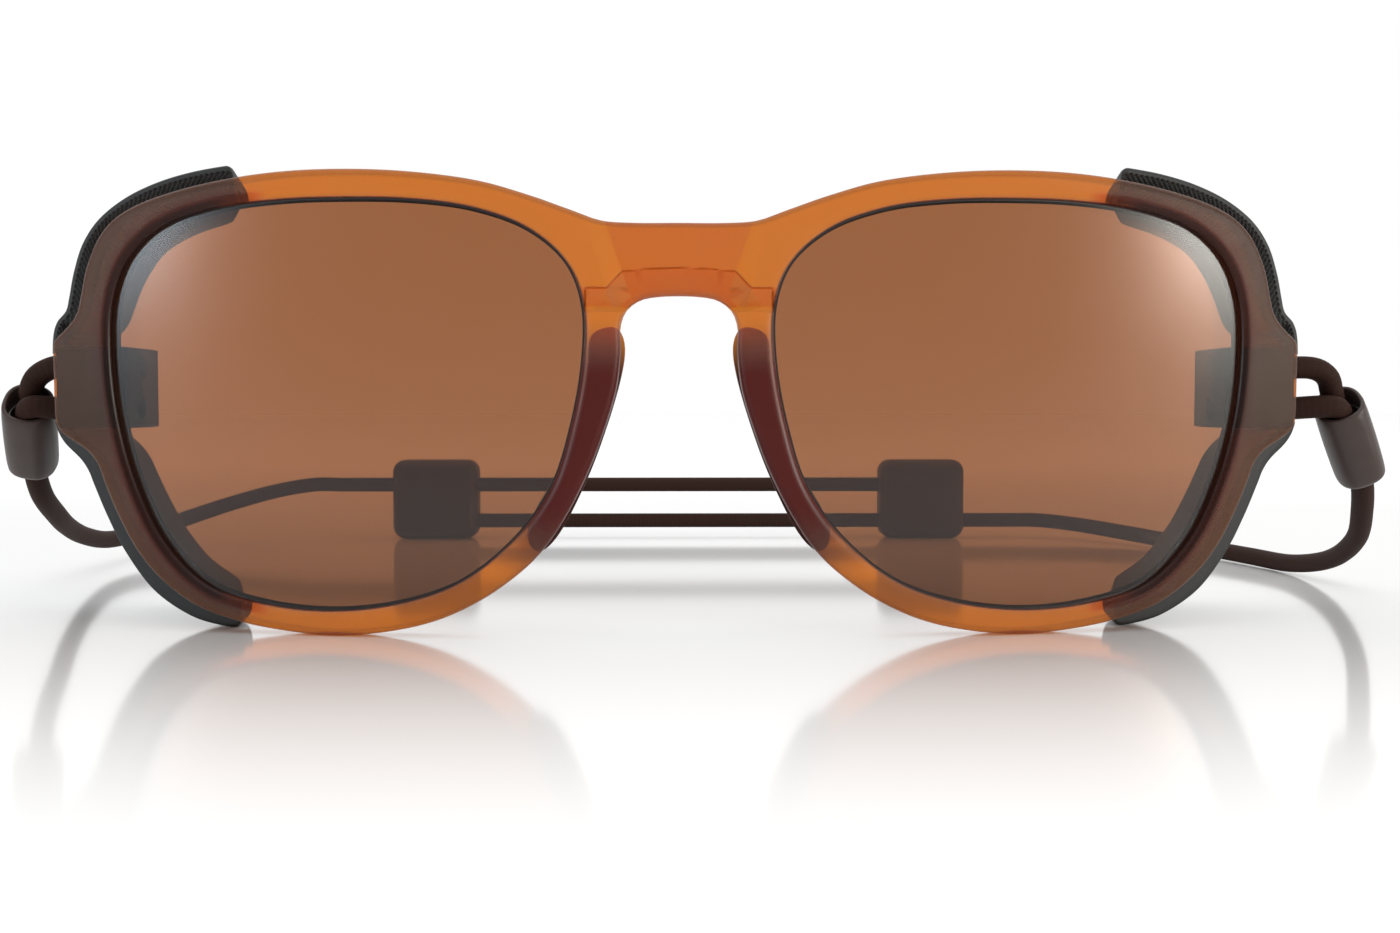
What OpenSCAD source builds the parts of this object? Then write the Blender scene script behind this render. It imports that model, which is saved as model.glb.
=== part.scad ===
// Glacier glasses: one-piece front, round lenses, slip-on side shields and an adjustable
// doubled cord in place of arms. Millimetres, +Z up, +X to the right as seen from the front,
// front faces -Y. The glasses stand on the lower rims and on the two cord sliders.

/* [Front] */
// Thickness of the front, from face to back
rim_t = 4.2; // [3.4:0.2:5.4]
// Radius that the whole front is curved to, seen from above
wrap_r = 250; // [180:10:400]
// How far the end lugs reach back behind the ends of the front
lug_depth = 8; // [7:0.5:12]
// Height of the end lugs
lug_h = 9.8; // [9.4:0.2:11]
// Outer face of the end lugs, from the middle
lug_x = 74.7; // [74:0.1:76]
// Width of the end lugs, from the inner to the outer side
lug_w = 8.6; // [7.8:0.2:9.2]

/* [Lenses] */
// Thickness of each lens
lens_t = 2; // [1.6:0.1:2.4]
// How deep each lens sits in its groove
groove_depth = 0.7; // [0.5:0.1:1]
// Gap between a lens and its groove
groove_gap = 0.05; // [0.02:0.01:0.1]

/* [Side shields] */
// Distance from the tip of the front to the back edge of the shields
shield_depth = 32; // [28:1:38]
// Thickness of the shield walls
shield_wall = 1.4; // [1:0.1:2]
// Angle at which the upper and lower ends of the shields lean outwards towards the back
shield_lean = 24; // [0:1:30]
// Thickness of the flange that lies behind the rim
flange_t = 1.3; // [1:0.1:2]
// Gap between the front and a shield
shield_gap = 0.2; // [0.1:0.05:0.4]
// Width of the slot that lets the cord into a shield from the front
strand_slot = 3.2; // [3:0.1:4]

/* [Nose pads] */
// How far the nose pads stand back from the front
pad_depth = 7.5; // [5:0.5:9]

/* [Cord] */
// Diameter of the cord
cord_d = 2.8; // [2.2:0.1:3]
// Distance between the two holes in a lug, and between the two strands
strand_pitch = 5; // [4.4:0.1:5.4]
// Outer diameter of the sleeves that join the doubled strands
sleeve_d = 5.8; // [5.6:0.1:6.4]
// Diameter of the cord where the crimp squeezes it
squeezed_d = 2.1; // [1.8:0.1:2.2]
// Length of the metal crimp inside a sleeve
crimp_l = 4; // [3:0.5:5]

/* [Sliders] */
// Width of a slider, along the cords
slider_w = 16.8; // [14:0.2:20]
// Thickness of a slider
slider_t = 8; // [6.6:0.2:10]
// Height of a slider
slider_h = 15.6; // [14.4:0.2:18]
// Radius of the slider's rounded corners
slider_r = 2.6; // [1.5:0.1:3.4]
// Distance from the middle to the centre of each slider
slider_x = 48.4; // [44:0.2:54]
// Height of the lower cord between the sliders
low_z = 3.4; // [3.2:0.1:4]
// Height of the upper cord between the sliders
high_z = 10.6; // [9.8:0.1:11.2]
// Wall of the rubber bush that grips the cord inside a slider
grip_wall = 0.8; // [0.5:0.1:1.2]
// Gap between the cord and what it passes through
cord_gap = 0.1; // [0.05:0.05:0.2]

/* [Hidden] */

// The front's foremost line lies here, so that the body of the glasses is centred on the origin.
front_y = -shield_depth / 2;
// Steps of the smooth curve between two of an outline's points
outline_steps = 2;
lens_steps = 3;
cord_steps = 2;
cord_sides = 8;
eps = 0.01;
far = 60;

// Outer edge of the front, right half, clockwise from the middle of the top: bridge, brow,
// end lug, cheek side, lower rim, nose side and the arch under the bridge.
half_edge = [
    [0, 47], [5, 47], [9, 47.3], [12.5, 48.5], [17, 50.1], [23, 51.8], [31, 52.9], [39, 53.3],
    [46.5, 53.1], [54, 52.2], [60.8, 50.7], [65.4, 48.9], [68.2, 46.4], [70, 42.8], [70.8, 39.6],
    [71.5, 37.2], [73, 35.5], [lug_x - 0.5, 34.5], [lug_x, 33.4], [lug_x, 29], [lug_x - 0.1, 24.8],
    [lug_x - 0.7, 23.4], [72.4, 22.3], [70.4, 21.1], [69, 19.5], [68, 17], [66.4, 13.5], [64, 9.4],
    [60.8, 5.9], [56.4, 3], [51, 1.3], [45.5, 0.4], [40, 0], [34.4, 0.4], [29, 1.5], [24.6, 3.2],
    [20.2, 5.8], [16, 9.4], [12.8, 14], [10.2, 19.2], [8.4, 24], [7.1, 28.4], [6.6, 32.6],
    [6.7, 35.2], [6, 37.2], [4.4, 38.4], [2.4, 38.8], [0, 38.9]
];

// Edge of the right lens opening, clockwise from the top
lens_edge = [
    [38, 50.1], [46, 50], [53.5, 49.2], [60, 47.3], [64.4, 43.8], [66.6, 38.8], [67, 32.5],
    [66.2, 25], [64.1, 17.6], [60.6, 10.7], [55.2, 5.6], [48, 3.4], [40, 2.8], [32, 3.8],
    [24.8, 6.4], [18.6, 11.4], [14.4, 17.3], [12.2, 24], [10.9, 31], [10.8, 37.5], [12.7, 42.6],
    [17.2, 46.5], [23.5, 48.8], [30.5, 49.8]
];

// Outer edge of the right shield, clockwise from its upper end to its lower end
shield_edge = [
    [51.4, 55], [57.6, 54.2], [62.3, 53.1], [66.6, 51.4], [70.2, 49], [72.5, 46.1], [73.8, 42.7],
    [74.5, 39.7], [75, 38], [76.3, 36.6], [76.9, 34.6], [77, 30.6], [76.9, 26.6], [76.7, 24.1],
    [75.6, 22], [73.3, 19.9], [72.2, 18.4], [71.5, 16.8], [69.7, 12.9], [67.3, 8.6], [63.6, 4.1],
    [58.9, 1.2], [54.7, 0.1], [50.9, 0]
];

// Outline of the right nose pad, clockwise from its top
pad_edge = [
    [8.2, 35.4], [10, 34.4], [10.2, 31], [11.3, 25.4], [13.2, 19.6], [16.4, 13.8], [17.4, 10.8],
    [16, 9.6], [13.6, 12], [10.4, 18.4], [8.2, 24.4], [6.7, 29.6], [6.2, 33], [6.8, 35]
];

// The two strands of each doubled end, and the middle of the lug that they pass through
lug_z = 28.6;
strand_y = front_y + 17.2;
strand_z = [lug_z - strand_pitch / 2, lug_z + strand_pitch / 2];
bend_x = lug_x - lug_w + strand_pitch / 2 + cord_d / 2 - 0.2;
strand_hole_r = cord_d / 2 + cord_gap;

// Mouth and tail of each sleeve, in the middle of its ends. The left one hangs steeper.
sleeve_ends = [
    [[-80.2, front_y + 17.2, 27.2], [-82.9, front_y + 24.8, 18.7]],
    [[82, front_y + 17.2, 27.1], [87.7, front_y + 22.4, 17.4]]
];
strand_side = squeezed_d / 2 + 0.05;
crimp_in_r = strand_side + squeezed_d / 2;
sleeve_bore_r = crimp_in_r + 0.3;
crimp_from = 2.6;
strand_depth = 7.6;

// Where the cords run between the sliders
cord_y = front_y + 128.5;
cord_stop = slider_x + 1;
bush_r = cord_d / 2 + cord_gap + grip_wall;
end_cap_l = 3;
end_cap_r = cord_d / 2 + 0.6;

// Route of the left cord: out of its sleeve, back beside the head, across the back through the
// left slider and into the right one.
left_route = [
    [-84.6, front_y + 31, 14.6], [-87, front_y + 41, 11.2], [-90, front_y + 52, 8.6],
    [-92.5, front_y + 64, 6.2], [-94, front_y + 77, 4.4], [-94, front_y + 91, 4.2],
    [-91.4, front_y + 105, 5.4], [-86.6, front_y + 117, 7.4], [-80, front_y + 125, 9.4],
    [-73, front_y + 128.2, high_z], [-67, cord_y, high_z], [-56, cord_y, high_z],
    [-40, cord_y, high_z], [-20, cord_y, high_z], [0, cord_y, high_z], [20, cord_y, high_z],
    [40, cord_y, high_z], [cord_stop, cord_y, high_z]
];

// Route of the right cord: it lies on the ground on its way back.
right_route = [
    [91, front_y + 29, 12.6], [94.4, front_y + 38, 7.8], [96.4, front_y + 50, 3.8],
    [96.2, front_y + 63, 1.7], [94.6, front_y + 76, 1.5], [91.8, front_y + 90, 1.6],
    [88, front_y + 104, 1.9], [82.6, front_y + 116, 2.5], [77.6, front_y + 124, 3],
    [72, front_y + 127.8, low_z], [67, cord_y, low_z], [56, cord_y, low_z], [40, cord_y, low_z],
    [20, cord_y, low_z], [0, cord_y, low_z], [-20, cord_y, low_z], [-40, cord_y, low_z],
    [-cord_stop, cord_y, low_z]
];

// ---- Curves ----

// A point of a smooth curve between b and c, where a and d are the points on either side
function between(a, b, c, d, t) =
    0.5 * (2 * b + (c - a) * t + (2 * a - 5 * b + 4 * c - d) * t * t
        + (3 * b - a - 3 * c + d) * t * t * t);

// A smooth closed curve through the points
function closed_curve(p, steps) = [
    for (i = [0:len(p) - 1])
        for (k = [0:steps - 1])
            between(p[(i + len(p) - 1) % len(p)], p[i], p[(i + 1) % len(p)],
                p[(i + 2) % len(p)], k / steps)
];

// A smooth open curve through the points, with both ends
function open_curve(p, steps) = concat(
    [
        for (i = [0:len(p) - 2])
            for (k = [0:steps - 1])
                between(p[max(i - 1, 0)], p[i], p[i + 1], p[min(i + 2, len(p) - 1)], k / steps)
    ],
    [p[len(p) - 1]]
);

function reversed(p) = [for (i = [len(p) - 1:-1:0]) p[i]];
function inner_part(p) = [for (i = [1:len(p) - 2]) p[i]];
function unit(v) = v / norm(v);
function outward(v) = unit([-v[1], v[0]]);

// A clockwise closed outline, moved outwards by d
function grown(p, d) = [
    for (i = [0:len(p) - 1])
        p[i] + d * outward(p[(i + 1) % len(p)] - p[(i + len(p) - 1) % len(p)])
];

// A clockwise open line, moved outwards by d
function shifted(p, d) = [
    for (i = [0:len(p) - 1])
        p[i] + d * outward(p[min(i + 1, len(p) - 1)] - p[max(i - 1, 0)])
];

front_outline = closed_curve(
    concat(half_edge, [for (q = reversed(inner_part(half_edge))) [-q[0], q[1]]]), outline_steps);
lens_outline = closed_curve(lens_edge, lens_steps);
shield_outer = open_curve(shield_edge, outline_steps);
shield_inner = shifted(shield_outer, -shield_wall);

// The lens opening's outer side, from bottom to top, which the shield's flange follows
flange_inner = [for (q = reversed(grown(lens_outline, 1))) if (q[0] > 50.9) q];

// ---- Helpers ----

// An outline in the X-Z plane, made solid from y0 to y1
module upright(y0, y1) {
    translate([0, y1, 0])
        rotate([90, 0, 0])
            linear_extrude(height = y1 - y0)
                children();
}

// The space between two depths behind the curved face of the front
module curved_layer(from, to) {
    translate([0, front_y + wrap_r, -far])
        difference() {
            cylinder(r = wrap_r - from, h = 3 * far, $fn = 360);
            translate([0, 0, -1])
                cylinder(r = wrap_r - to, h = 3 * far + 2, $fn = 360);
        }
}

// An outline, bent to the front's curve, between two depths behind its face
module bent(from, to) {
    intersection() {
        upright(front_y - 1, front_y + far)
            children();
        curved_layer(from, to);
    }
}

// Puts children, drawn upwards from the origin, along the line from a to b
module along(a, b) {
    d = b - a;
    translate(a)
        rotate([0, acos(d[2] / norm(d)), atan2(d[1], d[0])])
            children();
}

// The right-hand piece, or its mirror image on the left
module side(right) {
    if (right) {
        children();
    } else {
        mirror([1, 0, 0])
            children();
    }
}

// The cross-section directions of a tube, carried along it without twisting
function carried(path, i = 0, n = undef) =
    let (
        t = unit(path[min(i + 1, len(path) - 1)] - path[max(i - 1, 0)]),
        start = cross(t, abs(t[2]) < 0.9 ? [0, 0, 1] : [1, 0, 0]),
        m = unit(n == undef ? start : n - (n * t) * t),
        here = [[m, cross(t, m)]]
    )
    i == len(path) - 1 ? here : concat(here, carried(path, i + 1, m));

// A round tube along a path, with its own radius at each point
module tube(path, radii) {
    frames = carried(path);
    n = cord_sides;
    last = (len(path) - 1) * n;
    points = [
        for (i = [0:len(path) - 1])
            for (k = [0:n - 1])
                path[i] + radii[i] * (cos(360 * k / n) * frames[i][0] + sin(360 * k / n) * frames[i][1])
    ];
    walls = [
        for (i = [0:len(path) - 2])
            for (k = [0:n - 1])
                let (a = i * n + k, b = i * n + (k + 1) % n)
                    each [[a, a + n, b], [b, a + n, b + n]]
    ];
    caps = [[for (k = [0:n - 1]) k], [for (k = [n - 1:-1:0]) last + k]];
    polyhedron(points = points, faces = concat(walls, caps), convexity = 6);
}

// ---- Front and lenses ----

module lug_outline() {
    translate([lug_x - lug_w, lug_z - lug_h / 2])
        square([lug_w, lug_h]);
}

// The solid block behind each end of the front
module lug() {
    intersection() {
        upright(front_y + rim_t, front_y + far)
            lug_outline();
        translate([0, front_y, 0])
            cube([far * 2, rim_t + sag(lug_x) + lug_depth, far * 2]);
    }
}

// How far the curved face has gone back at x from the middle
function sag(x) = wrap_r - sqrt(wrap_r * wrap_r - x * x);

// The two holes through a lug, and the pocket on its inner side for the bend of the cord
module lug_holes() {
    for (z = strand_z) {
        translate([bend_x, strand_y, z])
            rotate([0, 90, 0])
                cylinder(r = strand_hole_r, h = 20, $fn = 48);
    }
    translate([bend_x, strand_y, lug_z])
        rotate([-90, 0, 0])
            translate([0, 0, -strand_hole_r])
                difference() {
                    intersection() {
                        cylinder(r = strand_pitch / 2 + strand_hole_r, h = 2 * strand_hole_r, $fn = 64);
                        translate([-20, -20, 0])
                            cube([20, 40, 20]);
                    }
                    translate([0, 0, -1])
                        cylinder(r = strand_pitch / 2 - strand_hole_r, h = 20, $fn = 64);
                }
}

module frame_front() {
    color("peru")
        difference() {
            union() {
                difference() {
                    bent(0, rim_t)
                        polygon(front_outline);
                    for (right = [false, true]) {
                        side(right)
                            upright(front_y - 2, front_y + far)
                                polygon(lens_outline);
                        side(right)
                            bent(rim_t / 2 - lens_t / 2 - groove_gap, rim_t / 2 + lens_t / 2 + groove_gap)
                                polygon(grown(lens_outline, groove_depth + groove_gap));
                    }
                }
                for (right = [false, true]) {
                    side(right)
                        difference() {
                            lug();
                            curved_layer(-far, rim_t - eps);
                        }
                }
            }
            for (right = [false, true]) {
                side(right)
                    lug_holes();
            }
        }
}

module lens(right) {
    color("sienna", 0.6)
        side(right)
            bent(rim_t / 2 - lens_t / 2, rim_t / 2 + lens_t / 2)
                polygon(grown(lens_outline, groove_depth));
}

module nose_pad(right) {
    color("maroon")
        side(right)
            bent(rim_t, rim_t + pad_depth)
                polygon(closed_curve(pad_edge, outline_steps));
}

// ---- Side shields ----

// Where the lug and the two strands pass through a shield
module shield_passage() {
    upright(front_y, front_y + far)
        translate([lug_x - lug_w - shield_gap, lug_z - lug_h / 2 - shield_gap])
            square([lug_w + 2 * shield_gap, lug_h + 2 * shield_gap]);
    translate([lug_x, strand_y - cord_d / 2 - 0.4, lug_z - strand_pitch / 2 - cord_d / 2 - 0.3])
        cube([far, cord_d + 0.8, strand_pitch + cord_d + 0.6]);
    translate([lug_x, front_y, lug_z - strand_slot / 2])
        cube([far, strand_y - front_y, strand_slot]);
}

// The shield's shape seen from above: its ends lean outwards, up to a rounded corner at the back
module shield_plan() {
    r = 3;
    x0 = 50.6;
    y0 = front_y + wrap_r - sqrt(pow(wrap_r, 2) - pow(x0, 2)) + rim_t + flange_t + 0.5;
    run = front_y + shield_depth - r - y0;
    centre = [x0 + (r + run * sin(shield_lean)) / cos(shield_lean), y0 + run];
    linear_extrude(height = 2 * far)
        polygon(concat(
            [[x0, front_y - 1], [far * 2, front_y - 1], [far * 2, front_y + shield_depth]],
            [for (i = [0:6]) let (a = 90 + i * (90 - shield_lean) / 6) centre + r * [cos(a), sin(a)]],
            [[x0, y0]]
        ));
}

module shield(right) {
    start = rim_t + shield_gap;
    color("dimgray")
        side(right)
            difference() {
                intersection() {
                    union() {
                        bent(start, start + flange_t)
                            polygon(concat(shield_outer, flange_inner));
                        bent(start, far * 0.8)
                            polygon(concat(shield_outer, reversed(shield_inner)));
                    }
                    shield_plan();
                }
                shield_passage();
            }
}

// ---- Doubled cord ends and sleeves ----

function sleeve_axis(right) = unit(sleeve_ends[right ? 1 : 0][1] - sleeve_ends[right ? 1 : 0][0]);
function sleeve_l(right) = norm(sleeve_ends[right ? 1 : 0][1] - sleeve_ends[right ? 1 : 0][0]);

// The direction in which the two strands lie apart inside a sleeve
function strand_apart(right) =
    let (a = sleeve_axis(right)) unit([0, -a[2], a[1]]);

// The doubled end: out of the sleeve, through the lower hole, round inside the lug, back
// through the upper hole and down into the sleeve again
function loop_points(right) =
    let (
        s = right ? 1 : -1,
        m = sleeve_ends[right ? 1 : 0][0],
        a = sleeve_axis(right),
        v = strand_apart(right) * strand_side,
        r = strand_pitch / 2
    )
    concat(
        [
            m - v + strand_depth * a, m - v + 4 * a, m - v + 1.4 * a,
            [m[0] - s * 1.1, m[1] - 0.9, strand_z[0] + 0.2],
            [s * (lug_x + 1.6), strand_y - 0.2, strand_z[0]],
            [s * lug_x, strand_y, strand_z[0]],
            [s * (bend_x + 1.6), strand_y, strand_z[0]]
        ],
        [for (w = [-90:30:90]) [s * (bend_x - r * cos(w)), strand_y, lug_z + r * sin(w)]],
        [
            [s * (bend_x + 1.6), strand_y, strand_z[1]],
            [s * lug_x, strand_y, strand_z[1]],
            [m[0] - s * 3.2, strand_y + 0.1, strand_z[1]],
            [m[0] - s * 1, m[1] + 0.6, strand_z[1] - 1.1],
            m + v * 1.3 - 0.2 * a, m + v + 2 * a, m + v + 4 * a, m + v + strand_depth * a
        ]
    );

module cord_loop(right) {
    path = open_curve(loop_points(right), 2);
    count = len(path);
    radii = [
        for (i = [0:count - 1])
            let (in = min(i, count - 1 - i) / 4)
                squeezed_d / 2 + (cord_d - squeezed_d) / 2 * max(0, min(1, in - 0.5))
    ];
    color("saddlebrown")
        tube(path, radii);
}

module sleeve(right) {
    ends = sleeve_ends[right ? 1 : 0];
    color("rosybrown")
        along(ends[0], ends[1])
            difference() {
                cylinder(d = sleeve_d, h = sleeve_l(right), $fn = 64);
                translate([0, 0, -1])
                    cylinder(r = sleeve_bore_r, h = strand_depth + 1, $fn = 64);
                cylinder(r = cord_d / 2 + cord_gap, h = sleeve_l(right) + 1, $fn = 64);
            }
}

module crimp(right) {
    ends = sleeve_ends[right ? 1 : 0];
    color("silver")
        along(ends[0], ends[1])
            translate([0, 0, crimp_from])
                difference() {
                    cylinder(r = sleeve_bore_r, h = crimp_l, $fn = 64);
                    translate([0, 0, -1])
                        cylinder(r = crimp_in_r, h = crimp_l + 2, $fn = 64);
                }
}

// ---- Cords and sliders ----

module cord(right) {
    ends = sleeve_ends[right ? 1 : 0];
    a = sleeve_axis(right);
    inside = ends[0] + strand_depth * a;
    route = concat([inside, ends[1]], right ? right_route : left_route);
    path = open_curve(route, cord_steps);
    color("saddlebrown")
        tube(path, [for (q = path) cord_d / 2]);
}

// A block with rounded upright corners, seen from the front
module rounded_block(w, t, h, r) {
    for (x = [-1, 1]) {
        for (z = [-1, 1]) {
            translate([x * (w / 2 - r), -t / 2, h / 2 + z * (h / 2 - r)])
                rotate([-90, 0, 0])
                    cylinder(r = r, h = t, $fn = 48);
        }
    }
    translate([-w / 2, -t / 2, r])
        cube([w, t, h - 2 * r]);
    translate([-w / 2 + r, -t / 2, 0])
        cube([w - 2 * r, t, h]);
}

// A level hole from x0 to x1 at height z
module level_hole(x0, x1, z, r) {
    translate([x0, 0, z])
        rotate([0, 90, 0])
            cylinder(r = r, h = x1 - x0, $fn = 48);
}

// In each slider one cord runs through the bush, and the other ends in a cap. Drawn for the
// right slider, whose middle is at x = 0 here: inwards is -X.
module slider(right) {
    through = right ? low_z : high_z;
    stop = right ? high_z : low_z;
    color("sienna")
        side(right)
            translate([slider_x, cord_y, 0])
                difference() {
                    rounded_block(slider_w, slider_t, slider_h, slider_r);
                    level_hole(-slider_w, slider_w, through, bush_r);
                    level_hole(-slider_w, cord_stop - slider_x + cord_gap, stop, cord_d / 2 + cord_gap);
                    level_hole(cord_stop - slider_x + cord_gap - eps,
                        cord_stop - slider_x + cord_gap + end_cap_l, stop, end_cap_r);
                }
}

module grip_bush(right) {
    through = right ? low_z : high_z;
    color("black")
        side(right)
            translate([slider_x, cord_y, 0])
                difference() {
                    level_hole(-slider_w / 2 + 0.6, slider_w / 2 - 0.6, through, bush_r);
                    level_hole(-slider_w, slider_w, through, cord_d / 2 + cord_gap);
                }
}

// The cap on the end of the cord that stops in a slider
module cord_end(right) {
    stop = right ? high_z : low_z;
    color("silver")
        side(right)
            translate([slider_x, cord_y, 0])
                level_hole(cord_stop - slider_x + cord_gap,
                    cord_stop - slider_x + cord_gap + end_cap_l, stop, end_cap_r);
}

frame_front();
lens(false);  // left_lens
lens(true);  // right_lens
nose_pad(false);  // left_nose_pad
nose_pad(true);  // right_nose_pad
shield(false);  // left_shield
shield(true);  // right_shield
cord_loop(false);  // left_cord_loop
cord_loop(true);  // right_cord_loop
sleeve(false);  // left_sleeve
sleeve(true);  // right_sleeve
crimp(false);  // left_crimp
crimp(true);  // right_crimp
cord(false);  // left_cord
cord(true);  // right_cord
slider(false);  // left_slider
slider(true);  // right_slider
grip_bush(false);  // left_grip_bush
grip_bush(true);  // right_grip_bush
cord_end(false);  // left_cord_end
cord_end(true);  // right_cord_end
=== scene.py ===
"""Glacier glasses: a one-piece translucent front with tinted lenses, rubber side shields, and a
doubled cord in place of arms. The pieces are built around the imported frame, in metres, +Z up,
with the front facing -Y and +X to the right as seen from the front."""

import math

import bpy
import numpy as np
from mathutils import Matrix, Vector


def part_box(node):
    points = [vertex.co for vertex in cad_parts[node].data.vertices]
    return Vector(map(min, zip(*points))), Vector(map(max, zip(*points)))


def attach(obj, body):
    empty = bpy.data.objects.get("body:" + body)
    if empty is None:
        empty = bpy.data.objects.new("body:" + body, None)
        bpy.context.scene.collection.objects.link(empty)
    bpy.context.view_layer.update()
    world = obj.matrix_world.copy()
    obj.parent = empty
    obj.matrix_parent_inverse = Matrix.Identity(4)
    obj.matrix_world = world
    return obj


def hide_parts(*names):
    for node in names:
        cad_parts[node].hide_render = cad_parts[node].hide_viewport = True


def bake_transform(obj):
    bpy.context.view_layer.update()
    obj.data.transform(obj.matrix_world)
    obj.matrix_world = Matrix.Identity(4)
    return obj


bl_info = {
    "name": "Glacier glasses",
    "version": (1, 0, 0),
    "blender": (4, 5, 0),
    "location": "View3D > Sidebar > Glasses",
    "description": "Builds the glasses' front, lenses, shields, cords and sliders, and their stage",
    "category": "Object",
}

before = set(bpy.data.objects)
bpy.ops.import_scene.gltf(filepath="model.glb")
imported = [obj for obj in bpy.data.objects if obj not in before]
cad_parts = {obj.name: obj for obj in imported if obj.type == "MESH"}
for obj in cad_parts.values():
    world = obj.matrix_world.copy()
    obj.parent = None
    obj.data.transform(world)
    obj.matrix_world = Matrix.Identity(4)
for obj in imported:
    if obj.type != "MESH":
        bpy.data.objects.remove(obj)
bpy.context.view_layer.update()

MM = 0.001
SIDES = {"left": -1, "right": 1}
FRONT_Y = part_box("frame_front")[0].y
SHIELD_BACK_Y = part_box("right_shield")[1].y
CORD_Y = sum(corner.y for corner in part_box("left_slider")) / 2
# Where the two strands of a doubled end go through the lugs
STRAND_Y = FRONT_Y + 17.2 * MM
# The stand is where the lowest rim touches it.
STAND_Z = 0.0

# Outer edge of the front, right half, in mm, clockwise from the middle of the top
FRONT_EDGE = [
    (0, 47), (5, 47), (9, 47.3), (12.5, 48.5), (17, 50.1), (23, 51.8), (31, 52.9), (39, 53.3),
    (46.5, 53.1), (54, 52.2), (60.8, 50.7), (65.4, 48.9), (68.2, 46.4), (70, 42.8), (70.8, 39.6),
    (71.5, 37.2), (73, 35.5), (74.2, 34.5), (74.7, 33.4), (74.7, 29), (74.6, 24.8),
    (74, 23.4), (72.4, 22.3), (70.4, 21.1), (69, 19.5), (68, 17), (66.4, 13.5), (64, 9.4),
    (60.8, 5.9), (56.4, 3), (51, 1.3), (45.5, 0.4), (40, 0), (34.4, 0.4), (29, 1.5), (24.6, 3.2),
    (20.2, 5.8), (16, 9.4), (12.8, 14), (10.2, 19.2), (8.4, 24), (7.1, 28.4), (6.6, 32.6),
    (6.7, 35.2), (6, 37.2), (4.4, 38.4), (2.4, 38.8), (0, 38.9),
]
# Edge of the right lens opening, in mm, clockwise from the top
LENS_EDGE = [
    (38, 50.1), (46, 50), (53.5, 49.2), (60, 47.3), (64.4, 43.8), (66.6, 38.8), (67, 32.5),
    (66.2, 25), (64.1, 17.6), (60.6, 10.7), (55.2, 5.6), (48, 3.4), (40, 2.8), (32, 3.8),
    (24.8, 6.4), (18.6, 11.4), (14.4, 17.3), (12.2, 24), (10.9, 31), (10.8, 37.5), (12.7, 42.6),
    (17.2, 46.5), (23.5, 48.8), (30.5, 49.8),
]
# Outer edge of the right shield, in mm, from its upper end to its lower end
SHIELD_EDGE = [
    (52.7, 54.83), (57.6, 54.2), (62.3, 53.1), (66.6, 51.4), (70.2, 49), (72.5, 46.1), (73.8, 42.7),
    (74.5, 39.7), (75, 38), (76.3, 36.6), (76.9, 34.6), (77, 30.6), (76.9, 26.6), (76.7, 24.1),
    (75.6, 22), (73.3, 19.9), (72.2, 18.4), (71.5, 16.8), (69.7, 12.9), (67.3, 8.6), (63.6, 4.1),
    (58.9, 1.2), (54.7, 0.1), (52.2, 0.03),
]
# Outline of the right nose pad, in mm, clockwise from its top
PAD_EDGE = [
    (8.2, 35.4), (10, 34.4), (10.2, 31), (11.3, 25.4), (13.2, 19.6), (16.4, 13.8), (17.4, 10.8),
    (16, 9.6), (13.6, 12), (10.4, 18.4), (8.2, 24.4), (6.7, 29.6), (6.2, 33), (6.8, 35),
]
# Mouth and tail of each sleeve, in mm, with y counted from the front's foremost line
SLEEVE_ENDS = {
    "left": [(-80.2, 17.2, 27.2), (-82.9, 24.8, 18.7)],
    "right": [(82, 17.2, 27.1), (87.7, 22.4, 17.4)],
}
# The free part of each cord, in mm, with y counted from the front's foremost line
CORD_ROUTES = {
    "left": [
        (-84.6, 31, 14.6), (-87, 41, 11.2), (-90, 52, 8.6), (-92.5, 64, 6.2), (-94, 77, 4.4),
        (-94, 91, 4.2), (-91.4, 105, 5.4), (-86.6, 117, 7.4), (-80, 125, 9.4), (-73, 128.2, 10.6),
    ],
    "right": [
        (91, 29, 12.6), (94.4, 38, 7.8), (96.4, 50, 3.8), (96.2, 63, 1.7), (94.6, 76, 1.5),
        (91.8, 90, 1.6), (88, 104, 1.9), (82.6, 116, 2.5), (77.6, 124, 3), (72, 127.8, 3.4),
    ],
}
# The level stretch across the back, as distances from the middle, on the cord's own side first
LEVEL_STRETCH = (67, 56, 40, 20, 0, -20, -40)
CORD_Z = {"left": 10.6, "right": 3.4}


# ---- Sizes and colours that a user would change ----


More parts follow.
